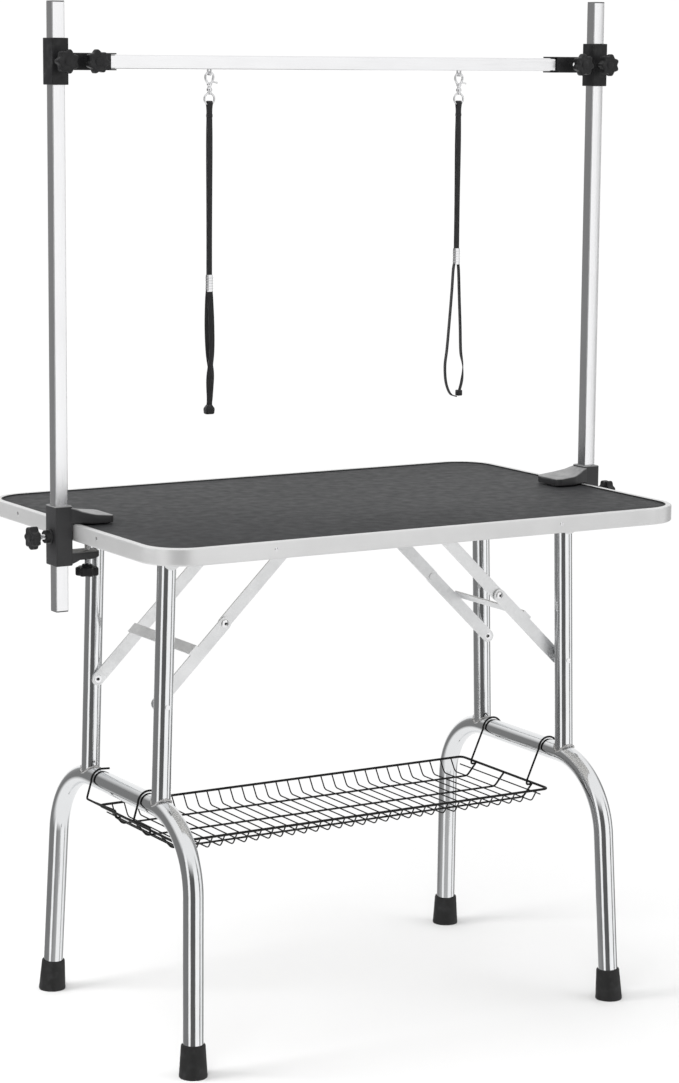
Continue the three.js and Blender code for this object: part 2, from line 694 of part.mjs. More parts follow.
// A bail over the left bow tube: two hooks, a cross wire, and two feet under the rim.
function trayBail() {
  const barX = TRAY.left - 44;
  const barZ = TRAY.rimZ + 26;
  const y = HANGER.bailY;
  const tipOf = (sideY) => {
    const top = roundBow(-1, sideY, 90, 0);
    return [[top[0][0] + 13, sideY, top[0][2]], ...top];
  };
  const frame = wire(
    [...tipOf(y), [barX, y, barZ], [barX, -y, barZ], ...tipOf(-y).reverse()],
    HANGER.r,
    { bend: 3, bendSteps: 2 },
  );
  const legX = TRAY.left - insideRim;
  const feet = [-1, 1].map((end) => wire([
    [barX, end * HANGER.bailFootY, barZ],
    [legX, end * HANGER.bailFootY, TRAY.rimZ + 7],
    [legX, end * HANGER.bailFootY, underRim],
    [TRAY.left + HANGER.footReach, end * HANGER.bailFootY, underRim],
  ], HANGER.r, { bend: 2, bendSteps: 2 }));
  return joined([frame, ...feet]);
}

piece('left_tray_bail', BLACK_WIRE, trayBail());
piece('right_front_tray_hook', BLACK_WIRE, trayHook(HANGER.frontHookY));
piece('right_rear_tray_hook', BLACK_WIRE, trayHook(HANGER.rearHookY));

// ---------------------------------------------------------------- nooses
const hangZ = BAR_Z - POST.size / 2 - STAPLE.drop + STAPLE.r + NOOSE.snapWire + 0.4;
const SNAP = { ringWide: 16, ringTall: 17, bodyLow: 12, bodyR: 4.2 };

// A trigger snap: open ring on top, thumb lever, body and swivel collar below.
function snapHook(x) {
  const y = POST.y;
  const steps = 12;
  const cz = hangZ - SNAP.ringTall / 2;
  const loop = Array.from({ length: steps }, (_, i) => {
    const a = (2 * Math.PI * i) / steps;
    return [x + (SNAP.ringWide / 2) * Math.sin(a), y, cz + (SNAP.ringTall / 2) * Math.cos(a)];
  });
  const bodyTop = cz - SNAP.ringTall / 2 + 1;
  return joined([
    wire(loop, NOOSE.snapWire, { sides: 6, bend: 0, closed: true }),
    rod([x, y, bodyTop - SNAP.bodyLow], [x, y, bodyTop], SNAP.bodyR, 12),
    rod([x, y, bodyTop - 4], [x + 11, y, bodyTop - 4.5], 1.2, 8),
  ]);
}

const eyeTop = hangZ - SNAP.ringTall + 1 - SNAP.bodyLow - GAP;

// The round swivel eye under the snap, with a collar that turns against it.
function swivelEye(x) {
  const steps = 12;
  const cz = eyeTop - 2 - NOOSE.eyeR;
  const ring = Array.from({ length: steps }, (_, i) => {
    const a = (2 * Math.PI * i) / steps;
    return [x + NOOSE.eyeR * Math.sin(a), POST.y, cz + NOOSE.eyeR * Math.cos(a)];
  });
  return joined([
    wire(ring, NOOSE.eyeWire, { sides: 6, bend: 0, closed: true }),
    rod([x, POST.y, eyeTop - 4], [x, POST.y, eyeTop], 3.4, 12),
  ]);
}

// Webbing: doubled over the eye, straight down through the slider, then the neck loop.
function nooseStrap(x, sliderZ, open) {
  const half = NOOSE.strapWide / 2;
  const ringLow = eyeTop - 2 - 2 * NOOSE.eyeR;
  const fold = NOOSE.eyeWire + 0.9;
  const foldZ = ringLow + 2.2;
  const t = NOOSE.strapThick;
  const loopZ = sliderZ - 9;
  const side = new THREE.Shape();
  side.moveTo(-fold - t, foldZ);
  side.absarc(0, foldZ, fold + t, Math.PI, 0, true);
  side.lineTo(fold + t, ringLow);
  side.lineTo(t + 0.2, ringLow - 14);
  side.lineTo(t + 0.2, loopZ);
  side.lineTo(-t - 0.2, loopZ);
  side.lineTo(-t - 0.2, ringLow - 14);
  side.lineTo(-fold - t, ringLow);
  const hole = new THREE.Path();
  hole.moveTo(-fold, ringLow);
  hole.lineTo(-0.6, ringLow - 10);
  hole.lineTo(0.6, ringLow - 10);
  hole.lineTo(fold, ringLow);
  hole.absarc(0, foldZ, fold, 0, Math.PI, false);
  side.holes.push(hole);
  const geometry = new THREE.ExtrudeGeometry(side, { depth: NOOSE.strapWide, bevelEnabled: false, curveSegments: 6 });
  geometry.rotateX(Math.PI / 2);
  geometry.rotateZ(Math.PI / 2);
  const strap = placed(geometry, x - half, POST.y, 0);
  const bottom = NOOSE.loopBottom + NOOSE.knotHeight / 2;
  const outline = (offset) => {
    const curve = new THREE.CatmullRomCurve3([
      new THREE.Vector3(0, 0, loopZ + 2),
      new THREE.Vector3(0, -open * 0.45 - 0.5, loopZ - (loopZ - bottom) * 0.3),
      new THREE.Vector3(0, -open * 0.5 - 0.5, loopZ - (loopZ - bottom) * 0.72),
      new THREE.Vector3(0, 0, bottom),
    ]);
    return curve.getPoints(8).map((p) => [p.y - offset, p.z]);
  };
  const legs = [-1, 1].map((way) => {
    const shape = new THREE.Shape();
    const points = [...outline(t), ...outline(-0.3).reverse()];
    points.forEach(([u, z], i) => {
      if (i === 0) shape.moveTo(way * u, z);
      else shape.lineTo(way * u, z);
    });
    const leg = new THREE.ExtrudeGeometry(shape, { depth: NOOSE.strapWide, bevelEnabled: false });
    leg.rotateX(Math.PI / 2);
    leg.translate(x, POST.y + NOOSE.strapWide / 2, 0);
    return solid(leg);
  });
  const knot = box(NOOSE.strapWide + 5, NOOSE.strapWide + 4, NOOSE.knotHeight, x, POST.y, bottom - 1);
  return joined([strap, ...legs, knot]);
}

// A flat sliding buckle with a slot for the doubled webbing.
function slider(x, z) {
  const slot = box(NOOSE.strapWide + 0.8, 2 * NOOSE.strapThick + 1.4, 40, x, POST.y, z);
  return box(NOOSE.strapWide + 3, 7.6, 24, x, POST.y, z).subtract(slot);
}

const NOOSES = [['left', NOOSE.leftX, NOOSE.sliderZ, 4], ['right', NOOSE.rightX, NOOSE.rightSliderZ, 34]];
for (const [name, x, sliderZ, open] of NOOSES) {
  piece(`${name}_noose_snap`, CHROME, snapHook(x));
  piece(`${name}_noose_eye`, CHROME, swivelEye(x));
  piece(`${name}_noose_strap`, WEBBING, nooseStrap(x, sliderZ, open));
  piece(`${name}_noose_slider`, CHROME, slider(x, sliderZ + 8));
}

export default group;
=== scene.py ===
"""Looks of the folding grooming table: polished tube legs, rubber top, overhead arm, nooses and wire tray.

Metres, in the CAD frame: +Z up, X along the top, the front edge at -Y.
"""

import math
import random

import bmesh
import bpy
from mathutils import Matrix, Vector


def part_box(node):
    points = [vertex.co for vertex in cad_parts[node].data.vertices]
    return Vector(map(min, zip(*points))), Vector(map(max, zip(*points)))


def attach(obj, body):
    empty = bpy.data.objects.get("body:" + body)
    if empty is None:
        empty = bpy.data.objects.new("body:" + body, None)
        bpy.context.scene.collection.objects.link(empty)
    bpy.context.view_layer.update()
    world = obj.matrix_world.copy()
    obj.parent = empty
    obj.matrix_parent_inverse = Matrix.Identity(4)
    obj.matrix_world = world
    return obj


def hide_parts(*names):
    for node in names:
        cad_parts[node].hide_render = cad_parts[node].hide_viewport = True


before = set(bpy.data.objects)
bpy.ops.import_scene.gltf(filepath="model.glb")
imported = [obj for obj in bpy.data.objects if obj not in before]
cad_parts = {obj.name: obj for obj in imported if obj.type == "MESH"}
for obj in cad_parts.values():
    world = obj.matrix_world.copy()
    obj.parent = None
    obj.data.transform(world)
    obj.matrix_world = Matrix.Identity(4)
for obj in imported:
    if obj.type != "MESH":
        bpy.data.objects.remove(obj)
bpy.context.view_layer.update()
random.seed(7)

X, Y, Z = Vector((1, 0, 0)), Vector((0, 1, 0)), Vector((0, 0, 1))
SIDES = (("left", -1), ("right", 1))
ENDS = (("front", -1), ("rear", 1))


def heights(node):
    """The lowest and highest Z of a CAD node."""
    low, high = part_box(node)
    return low.z, high.z


def angles(count, shift=0.0):
    """Even steps once round."""
    return [2 * math.pi * (i + shift) / count for i in range(count)]


# ---------------- mesh building
class Shape:
    """Points and faces of one piece, gathered from closed parts."""

    def __init__(self):
        self.points = []
        self.faces = []

    def rings(self, rings, closed=False):
        """Joins rings of points, all of one length, and caps the ends unless they close on themselves."""
        base, n, count = len(self.points), len(rings[0]), len(rings)
        for ring in rings:
            self.points += [Vector(p) for p in ring]
        for k in range(count if closed else count - 1):
            a, b = base + k * n, base + ((k + 1) % count) * n
            for i in range(n):
                j = (i + 1) % n
                self.faces.append((a + i, a + j, b + j, b + i))
        if not closed:
            self.faces.append(tuple(base + i for i in reversed(range(n))))
            self.faces.append(tuple(base + (count - 1) * n + i for i in range(n)))
        return self

    def sweep(self, path, radius, sides=12, closed=False, normal=None, section=None, widths=None):
        """A round rod, or a given section, along a path. Widths are the section's own side directions."""
        path = [Vector(p) for p in path]
        count = len(path)
        radii = radius if isinstance(radius, (list, tuple)) else [radius] * count
        if section is None:
            section = [(math.cos(a), math.sin(a)) for a in angles(sides)]
        rings, side = [], None
        for i, p in enumerate(path):
            before = path[(i - 1) % count] if closed or i else p
            after = path[(i + 1) % count] if closed or i < count - 1 else p
            along = (after - before).normalized()
            if widths is not None:
                side = Vector(widths[i])
            elif side is None:
                side = Vector(normal) if normal is not None else along.orthogonal()
            side = (side - along * side.dot(along)).normalized()
            up = along.cross(side)
            rings.append([p + (side * u + up * v) * radii[i] for u, v in section])
        return self.rings(rings, closed)

    def turned(self, profile, origin, axis, sides=28, closed=False):
        """A profile of (radius, height) turned about an axis."""
        axis = Vector(axis).normalized()
        u = axis.orthogonal().normalized()
        v = axis.cross(u)
        rings = []
        for r, h in profile:
            centre = Vector(origin) + axis * h
            rings.append([centre + (u * math.cos(a) + v * math.sin(a)) * r for a in angles(sides, 0.5)])
        return self.rings(rings, closed)

    def pillow(self, outline, low, high, edge, place):
        """A flat outline with thickness and softened edges. Place turns (a, b, height) into a point."""
        tight = inset(outline, edge)
        mid = inset(outline, edge * 0.3)
        levels = (
            (tight, low), (mid, low + edge * 0.3), (outline, low + edge),
            (outline, high - edge), (mid, high - edge * 0.3), (tight, high),
        )
        return self.rings([[place(a, b, h) for a, b in line] for line, h in levels])

    def hollow(self, outer, inner, low, high, edge, place):
        """A tube of two outlines with the same number of points."""
        tight = inset(outer, edge)
        wide = inset(inner, -edge)
        levels = (
            (tight, low), (outer, low + edge), (outer, high - edge), (tight, high),
            (wide, high), (inner, high - edge), (inner, low + edge), (wide, low),
        )
        return self.rings([[place(a, b, h) for a, b in line] for line, h in levels], closed=True)


def inset(outline, by):
    """Moves a counter-clockwise outline inward."""
    n = len(outline)
    moved = []
    for i, (a, b) in enumerate(outline):
        (a0, b0), (a1, b1) = outline[i - 1], outline[(i + 1) % n]
        first = Vector((b - b0, a0 - a)).normalized()
        second = Vector((b1 - b, a - a1)).normalized()
        out = (first + second).normalized()
        reach = by / max(out.dot(first), 0.5)
        moved.append((a - out.x * reach, b - out.y * reach))
    return moved


def rounded(half_a, half_b, r, steps=6):
    """A counter-clockwise rectangle with round corners."""
    line = []
    for quarter, (ca, cb) in enumerate(((1, 1), (-1, 1), (-1, -1), (1, -1))):
        for i in range(steps + 1):
            t = (quarter + i / steps) * math.pi / 2
            line.append((ca * (half_a - r) + r * math.cos(t), cb * (half_b - r) + r * math.sin(t)))
    return line


def bent(points, r, steps=6, closed=False):
    """Rounds the corners of a path."""
    p = [Vector(q) for q in points]
    n = len(p)
    path = []
    for i, corner in enumerate(p):
        if not closed and i in (0, n - 1):
            path.append(corner)
            continue
        before, after = p[i - 1], p[(i + 1) % n]
        back = min(r, (before - corner).length * 0.45, (after - corner).length * 0.45)
        a = corner + (before - corner).normalized() * back
        b = corner + (after - corner).normalized() * back
        for k in range(steps + 1):
            t = k / steps
            path.append(a * (1 - t) ** 2 + corner * 2 * t * (1 - t) + b * t * t)
    return path


def curve(points, steps=10):
    """A smooth line through the points."""
    p = [Vector(q) for q in points]
    p = [p[0] * 2 - p[1]] + p + [p[-1] * 2 - p[-2]]
    line = []
    for i in range(1, len(p) - 2):
        a, b, c, d = p[i - 1:i + 3]
        for k in range(steps):
            t = k / steps
            line.append(0.5 * (
                2 * b + (c - a) * t + (2 * a - 5 * b + 4 * c - d) * t ** 2
                + (3 * b - a - 3 * c + d) * t ** 3
            ))
    line.append(p[-2])
    return line


def add_piece(name, shape, material, body, replaces=(), smooth=40):
    """Makes the mesh object, shades it and ties it to its body."""
    mesh = bpy.data.meshes.new(name)
    mesh.from_pydata([tuple(p) for p in shape.points], [], shape.faces)
    work = bmesh.new()
    work.from_mesh(mesh)
    bmesh.ops.recalc_face_normals(work, faces=work.faces)
    work.to_mesh(mesh)
    work.free()
    mesh.shade_smooth()
    mesh.set_sharp_from_angle(angle=math.radians(smooth))
    mesh.materials.append(material)
    piece = bpy.data.objects.new(name, mesh)
    bpy.context.scene.collection.objects.link(piece)
    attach(piece, body)
    if replaces:
        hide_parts(*replaces)
    return piece


# ---------------- materials
RAMP_END = 0.9999


class Graph:
    """A small helper for wiring shader nodes."""

    def __init__(self, tree):
        self.tree = tree

    def feed(self, socket, value):
        if isinstance(value, bpy.types.NodeSocket):
            self.tree.links.new(value, socket)
        else:
            socket.default_value = value

    def make(self, kind, **inputs):
        node = self.tree.nodes.new(kind)
        for key, value in inputs.items():
            self.feed(node.inputs[key.replace("_", " ")], value)
        return node

    def math(self, operation, *values):
        node = self.make("ShaderNodeMath")
        node.operation = operation
        for socket, value in zip(node.inputs, values):
            self.feed(socket, value)
        return node.outputs[0]

    def mixed(self, share, dark, light):
        node = self.make("ShaderNodeMix")
        node.data_type = "RGBA"
        self.feed(node.inputs[0], share)
        for i, color in ((6, dark), (7, light)):
            self.feed(node.inputs[i], (*color, 1) if isinstance(color, tuple) else color)
        return node.outputs[2]

    def ramp(self, value, marks):
        """A grey that follows a value. The marks are (position, tone), in order."""
        node = self.make("ShaderNodeValToRGB")
        self.feed(node.inputs[0], value)
        elements = node.color_ramp.elements
        elements.remove(elements[-1])
        elements[0].position = marks[0][0]
        for i, (position, tone) in enumerate(marks):
            mark = elements.new(min(RAMP_END, position)) if i else elements[0]
            mark.color = (tone, tone, tone, 1)
        return node.outputs[0]


class Nodes(Graph):
    """The nodes of one material."""

    def __init__(self, name):
        self.material = bpy.data.materials.new(name)
        self.material.use_nodes = True
        super().__init__(self.material.node_tree)
        self.shader = self.tree.nodes["Principled BSDF"]
        self.place = self.make("ShaderNodeTexCoord").outputs["Object"]

    def stretched(self, scale):
        return self.make("ShaderNodeMapping", Vector=self.place, Scale=scale).outputs["Vector"]

    def noise(self, scale, detail=3, stretch=(1, 1, 1)):
        node = self.make("ShaderNodeTexNoise", Vector=self.stretched(stretch), Scale=scale, Detail=detail)
        return node.outputs["Fac"]

    def wave(self, stretch, scale, distortion, direction):
        """Parallel bands across the piece."""
        place = self.stretched(stretch)
        node = self.make("ShaderNodeTexWave", Vector=place, Scale=scale, Distortion=distortion)
        node.bands_direction = direction
        return node.outputs["Fac"]

    def between(self, value, low, high, source=(0.3, 0.7)):
        """Carries a value from its source range to low .. high."""
        ends = {"From_Min": source[0], "From_Max": source[1], "To_Min": low, "To_Max": high}
        return self.make("ShaderNodeMapRange", Value=value, **ends).outputs["Result"]

    def bump(self, height, strength, distance, under=None):
        node = self.make("ShaderNodeBump", Height=height, Strength=strength, Distance=distance)
        if under is not None:
            self.feed(node.inputs["Normal"], under)
        return node.outputs["Normal"]

    def finish(self, color, roughness, metallic=0.0, normal=None, specular=0.5):
        for key, value in (
            ("Base Color", color), ("Roughness", roughness), ("Metallic", metallic),
            ("Normal", normal), ("Specular IOR Level", specular),
        ):
            if value is not None:
                self.feed(self.shader.inputs[key], value)
        return self.material


def metal(name, dark, light, rough, scratch, scratch_scale, cloud_scale=9, bump=0.06, metallic=1.0):
    """Bright metal: cloudy tone, uneven polish and fine scratches along one direction."""
    n = Nodes(name)
    color = n.mixed(n.noise(cloud_scale, 5), dark, light)
    lines = n.noise(scratch_scale, 2, scratch)
    polish = n.between(lines, rough[0], rough[1])
    return n.finish(color, polish, metallic, n.bump(lines, bump, 0.0004))


STEEL = metal("polished_steel", (0.76, 0.77, 0.78), (0.86, 0.87, 0.88), (0.07, 0.16), (1, 1, 0.04), 500)
POST_STEEL = metal("post_steel", (0.83, 0.83, 0.84), (0.91, 0.91, 0.92), (0.19, 0.27), (1, 1, 0.03), 700)
BAR_STEEL = metal("bar_steel", (0.83, 0.83, 0.84), (0.91, 0.91, 0.92), (0.19, 0.27), (0.03, 1, 1), 700)
ALUMINIUM = metal(
    "brushed_band", (0.59, 0.59, 0.59), (0.74, 0.74, 0.74), (0.38, 0.50),
    (0.02, 0.02, 3), 500, 14, 0.12, 0.75,
)
CHROME = metal("bright_chrome", (0.70, 0.70, 0.71), (0.92, 0.92, 0.93), (0.05, 0.14), (1, 1, 1), 900, 60)


def spangled_zinc():
    """Zinc plate: small crystal patches, a soft mottle and rolled lines."""
    n = Nodes("zinc_plate")
    cells = n.make("ShaderNodeTexVoronoi", Vector=n.place, Scale=160.0).outputs["Color"]
    grey = n.make("ShaderNodeSeparateColor", Color=cells).outputs[0]
    tone = n.math("MULTIPLY_ADD", grey, 0.35, n.noise(26, 6))
    color = n.mixed(n.between(tone, 0, 1, (0.35, 1.0)), (0.74, 0.745, 0.75), (0.88, 0.885, 0.89))
    fine = n.noise(900, 3)
    return n.finish(color, n.between(grey, 0.36, 0.52, (0, 1)), 1.0, n.bump(fine, 0.10, 0.0004))


ZINC = spangled_zinc()


def weld_metal():
    """Darker heat-tinted patches on a rippled bead."""
    n = Nodes("weld_bead")
    color = n.mixed(n.noise(220, 4), (0.34, 0.33, 0.32), (0.78, 0.78, 0.78))
    return n.finish(color, 0.3, 1.0, n.bump(n.noise(900, 3), 0.4, 0.0006))


WELD = weld_metal()


def mat_rubber():
    """Dark grey rubber with a fine pebble and a faint dusty bloom."""
    n = Nodes("pebbled_rubber")
    color = n.mixed(n.between(n.noise(3.2, 6), 0, 1), (0.019, 0.0195, 0.0205), (0.028, 0.0285, 0.030))
    pebble = n.make("ShaderNodeTexVoronoi", Vector=n.place, Scale=620.0).outputs["Distance"]
    grain = n.bump(pebble, 0.35, 0.0003)
    fine = n.bump(n.noise(1500, 3), 0.15, 0.0003, grain)
    return n.finish(color, n.between(n.noise(60, 4), 0.56, 0.70), 0.0, fine, 0.17)


def moulded(name, dark, light, rough, grain=1300, strength=0.2, specular=0.5):
    """Moulded plastic or rubber: fine spark grain, uneven gloss and faint scuffs."""
    n = Nodes(name)
    pale_share = n.between(n.noise(75, 8), 0, 1, (0.5, 0.75))
    color = n.mixed(pale_share, dark, light)
    polish = n.between(n.noise(40, 4), rough[0], rough[1])
    return n.finish(color, polish, 0.0, n.bump(n.noise(grain, 3), strength, 0.0003), specular)


MAT = mat_rubber()
RUBBER = moulded("foot_rubber", (0.008, 0.008, 0.008), (0.020, 0.020, 0.021), (0.50, 0.68), 900, 0.25, 0.4)
PLASTIC = moulded(
    "black_plastic", (0.007, 0.007, 0.0075), (0.017, 0.017, 0.0175), (0.36, 0.52), 1500, 0.22, 0.30,
)
GREY_PLASTIC = moulded("grey_plug", (0.07, 0.07, 0.072), (0.11, 0.11, 0.112), (0.40, 0.55), 1500, 0.15)
WIRE = moulded("dipped_wire", (0.003, 0.003, 0.003), (0.008, 0.008, 0.008), (0.38, 0.50), 700, 0.2, 0.22)


def casting():
    """Black enamel over a casting, with a painted sheen: paler on the upward faces, broken by a random
    mottle.
    """
    n = Nodes("enamel_casting")
    facing = n.make("ShaderNodeNewGeometry").outputs["Normal"]
    rise = n.make("ShaderNodeSeparateXYZ", Vector=facing).outputs["Z"]
    # Painted sheen: the colour turns paler as the face turns upward, standing in for light from above.
    painted_top_sheen = n.between(rise, 0, 1, (0.15, 0.85))
    pale_share = n.math("MULTIPLY", painted_top_sheen, n.between(n.noise(60, 8), 0.55, 1.0))
    color = n.mixed(pale_share, (0.020, 0.020, 0.021), (0.215, 0.215, 0.216))
    polish = n.between(n.noise(45, 4), 0.34, 0.50)
    return n.finish(color, polish, 0.0, n.bump(n.noise(1300, 3), 0.22, 0.0003), 0.4)


CASTING = casting()


def webbing():
    """Woven nylon: ribs across the strap crossed by fine warp lines, with a little fuzz in the tone."""
    n = Nodes("woven_webbing")
    ribs = n.wave((0.12, 0.12, 1), 260.0, 1.2, "Z")
    warp = n.wave((1, 1, 0.08), 330.0, 0.6, "DIAGONAL")
    weave = n.math("MULTIPLY", ribs, warp)
    color = n.mixed(weave, (0.007, 0.007, 0.0075), (0.030, 0.030, 0.032))
    fuzz = n.bump(n.noise(2600, 2), 0.3, 0.0003, n.bump(weave, 0.9, 0.0005))
    n.shader.inputs["Sheen Weight"].default_value = 0.15
    return n.finish(color, 0.82, 0.0, fuzz, 0.3)


WEBBING = webbing()


def sealed_board():
    """Pale sealed board: faint long grain under the coat, and plies that show on the cut edges."""
    n = Nodes("sealed_board")
    grain = n.noise(30, 8, (0.15, 2.2, 1))
    plies = n.wave((0.2, 0.2, 1), 55.0, 0.4, "Z")
    tone = n.math("MULTIPLY_ADD", plies, 0.25, grain)
    color = n.mixed(n.between(tone, 0, 1, (0.3, 0.95)), (0.47, 0.46, 0.44), (0.66, 0.65, 0.63))
    return n.finish(color, 0.62, 0.0, n.bump(grain, 0.25, 0.0005))


BOARD = sealed_board()


def dress(node, material, bevel=0.0):
    """Gives a carried-over CAD node its material, and softens its sharp edges."""
    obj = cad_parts[node]
    obj.data.materials.clear()
    obj.data.materials.append(material)
    if bevel:
        weld = obj.modifiers.new("join", "WELD")
        weld.merge_threshold = 1e-6
        edge = obj.modifiers.new("edge", "BEVEL")
        edge.width = bevel
        edge.segments = 2
        edge.limit_method = "ANGLE"
        edge.angle_limit = math.radians(40)
        edge.harden_normals = True
    return obj


# ---------------- the top
TOP_X, TOP_Y, TOP_Z = 0.455, 0.300, 0.788
CORNER, BAND, LIP, WALL, LIP_THICK = 0.065, 0.025, 0.009, 0.002, 0.0016
MAT_LOW, MAT_HIGH = heights("rubber_mat")
SCREW_DROP = 0.0108
SCREW_HEAD = (
    (0.0031, -0.0010), (0.0031, 0.0001), (0.0026, 0.0004), (0.0014, 0.0006), (0.0010, 0.0001), (0.0003, 0.0),
)
LONG_SIDE_SCREWS = ((-0.271, -1), (0.219, -1), (0.271, 1), (-0.219, 1))
END_SCREWS = ((0.168, -1), (-0.100, -1), (-0.168, 1), (0.100, 1))


def plan(by):
    """The top's outline, moved in from the face of the band."""
    return rounded(TOP_X - by, TOP_Y - by, CORNER - by, 18)


def band_section():
    """The channel's section as (distance in from the face, height)."""
    round_r = 0.0026
    low, high = TOP_Z - BAND, TOP_Z
    quarter = [math.pi / 2 * i / 5 for i in range(6)]
    points = [(LIP, high - 0.0004), (LIP - 0.0004, high)]
    points += [(round_r * (1 - math.sin(a)), high - round_r * (1 - math.cos(a))) for a in quarter]
    points += [(round_r * (1 - math.cos(a)), low + round_r * (1 - math.sin(a))) for a in quarter]
    points += [
        (LIP, low), (LIP, low + LIP_THICK), (WALL, low + LIP_THICK),
        (WALL, high - LIP_THICK), (LIP, high - LIP_THICK),
    ]
    return points


def build_top():
    band = Shape()
    band.rings([[(a, b, h) for a, b in plan(d)] for d, h in band_section()], closed=True)
    add_piece("band", band, ALUMINIUM, "table", ["edge_band"], 50)
    sheet = Shape()
    sheet.pillow(plan(LIP + 0.0003), MAT_LOW, MAT_HIGH, 0.0004, lambda a, b, h: (a, b, h))
    add_piece("mat", sheet, MAT, "table", ["rubber_mat"])
    # Painted shade: a black strip just inside the lip, standing in for the shadow in the gap between the lip
    # and the mat.
    bead = Shape()
    profile = (
        (LIP + 0.0001, MAT_HIGH - 0.0004), (LIP + 0.0001, TOP_Z - 0.0002),
        (LIP + 0.0016, TOP_Z - 0.0002), (LIP + 0.0022, MAT_HIGH - 0.0004),
    )
    bead.rings([[(a, b, h) for a, b in plan(d)] for d, h in profile], closed=True)
    add_piece("mat_gap_shade", bead, RUBBER, "table", smooth=50)
    dress("tabletop_board", BOARD)
    screws = Shape()
    height = TOP_Z - SCREW_DROP
    for x, way in LONG_SIDE_SCREWS:
        screws.turned(SCREW_HEAD, (x, way * TOP_Y, height), (0, way, 0), 18)
    for y, way in END_SCREWS:
        screws.turned(SCREW_HEAD, (way * TOP_X, y, height), (way, 0, 0), 18)
    add_piece("band_screws", screws, CHROME, "table")


# ---------------- legs
PIVOT_X, PIVOT_Z, SPREAD, UPRIGHT_Y = 0.350, 0.743, 0.021, 0.117
UPRIGHT_R, BOW_R, BOW_Z, BEND, FOOT_Y = 0.01425, 0.0153, 0.372, 0.115, 0.238
TILT = math.atan2(SPREAD, PIVOT_Z)
DOWN = PIVOT_Z / math.cos(TILT)
BOW_D = (PIVOT_Z - BOW_Z) / math.cos(TILT)
SPLAY = math.radians(3)
TOP_STUB, ARM = 0.013, 0.218


def frame_point(side, y, d, out=0.0):
    """A point in a leg frame's own plane: y across, d down from the pivot, out square to the plane."""
    return Vector((
        side * (PIVOT_X + d * math.sin(TILT) + out * math.cos(TILT)),
        y,
        PIVOT_Z - d * math.cos(TILT) + out * math.sin(TILT),
    ))


def bow_path(side, foot_d, steps=20):
    """The bow tube's centre line: up one leg, across and down the other."""
    bend_top = BOW_D + BEND
    bend_end = bend_top - BEND * math.sin(SPLAY)
    bend_end_y = FOOT_Y - (DOWN - bend_end) * math.tan(SPLAY)
    bend_y = bend_end_y - BEND * math.cos(SPLAY)
    half = [(FOOT_Y - (DOWN - foot_d) * math.tan(SPLAY), foot_d)]
    for i in range(steps + 1):
        a = SPLAY + i / steps * (math.pi / 2 - SPLAY)
        half.append((bend_y + BEND * math.cos(a), bend_top - BEND * math.sin(a)))
    full = half + [(-y, d) for y, d in reversed(half)]
    return [frame_point(side, y, d) for y, d in full]


def weld_ring(side, end):
    """The seam where an upright meets the bow tube, as a lumpy bead."""
    ring, radii = [], []
    for i, a in enumerate(angles(64)):
        out = (UPRIGHT_R + 0.0006) * math.cos(a)
        y = end * UPRIGHT_Y + (UPRIGHT_R + 0.0006) * math.sin(a)
        drop = math.sqrt(max((BOW_R + 0.0004) ** 2 - out ** 2, 1e-6))
        ring.append(frame_point(side, y, BOW_D - drop, out))
        radii.append(0.0017 + 0.0004 * math.sin(i * 2.4) + random.uniform(-0.0003, 0.0003))
    return ring, radii


FOOT_PROFILE = (
    (0.0150, -0.0030), (0.0204, -0.0030), (0.0210, 0.0005), (0.0211, 0.0035), (0.0207, 0.0050),
    (0.0203, 0.0120), (0.0192, 0.0300), (0.0183, 0.0440), (0.0181, 0.0466), (0.0175, 0.0478),
    (0.0163, 0.0480), (0.0157, 0.0470), (0.0156, 0.0400),
)


def build_legs():
    for name, side in SIDES:
        body = f"{name}_leg"
        tubes = Shape()
        tubes.sweep(bow_path(side, DOWN - 0.009), BOW_R, 32, normal=X)
        for _, end in ENDS:
            tubes.sweep(
                [frame_point(side, end * UPRIGHT_Y, BOW_D), frame_point(side, end * UPRIGHT_Y, -TOP_STUB)],
                UPRIGHT_R, 32, normal=X,
            )
        add_piece(f"{name}_tube_frame", tubes, STEEL, body, [f"{name}_leg_frame"])
        beads = Shape()
        for _, end in ENDS:
            ring, radii = weld_ring(side, end)
            beads.sweep(ring, radii, 8, closed=True)
        add_piece(f"{name}_weld_beads", beads, WELD, body, smooth=60)
        for end_name, end in ENDS:
            path = bow_path(side, DOWN)
            low, high = (path[-1], path[-2]) if end < 0 else (path[0], path[1])
            foot = Shape()
            foot.turned(FOOT_PROFILE, low, high - low, 40)
            for p in foot.points:
                p.z = max(p.z, 0.0)
            key = f"{name}_{end_name}_foot"
            add_piece(f"{name}_{end_name}_cup", foot, RUBBER, body, [key], 50)


# ---------------- rivets, plates and braces
def dome(shape, centre, axis, r, height, recess=0.0):
    """A domed rivet head standing on a face, with a shallow hollow in its crown."""
    profile = [(r, -0.0004), (r, height * 0.35)]
    profile += [(r * math.cos(a), height * (0.35 + 0.65 * math.sin(a))) for a in (0.3, 0.6, 0.9, 1.15)]
    if recess:
        profile += [(r * 0.34, height), (r * 0.28, height - recess), (r * 0.05, height - recess)]
    else:
        profile += [(r * 0.12, height)]
    return shape.turned(profile, centre, axis, 28)


def painted_hollow_shade(shape, centre, axis, r, height):
    """Painted shade: a black disc in the crown of a tubular rivet, standing in for the dark of its hollow.
    """
    low, middle = height - 0.0003, 0.0002
    return shape.turned([(middle, low), (r, low), (r * 0.9, height), (middle, height)], centre, axis, 18)


def pin(shape, low, high, r):
    return shape.sweep([low, high], r, 20)


LINK_LOWER_Y, LINK_THICK, PIN_R, HEAD_R = 0.0985, 0.0026, 0.0035, 0.0075
EAR_GAP, EAR_THICK, SEAT, COLLAR_R = 0.0016, 0.0025, 0.0002, 0.0065


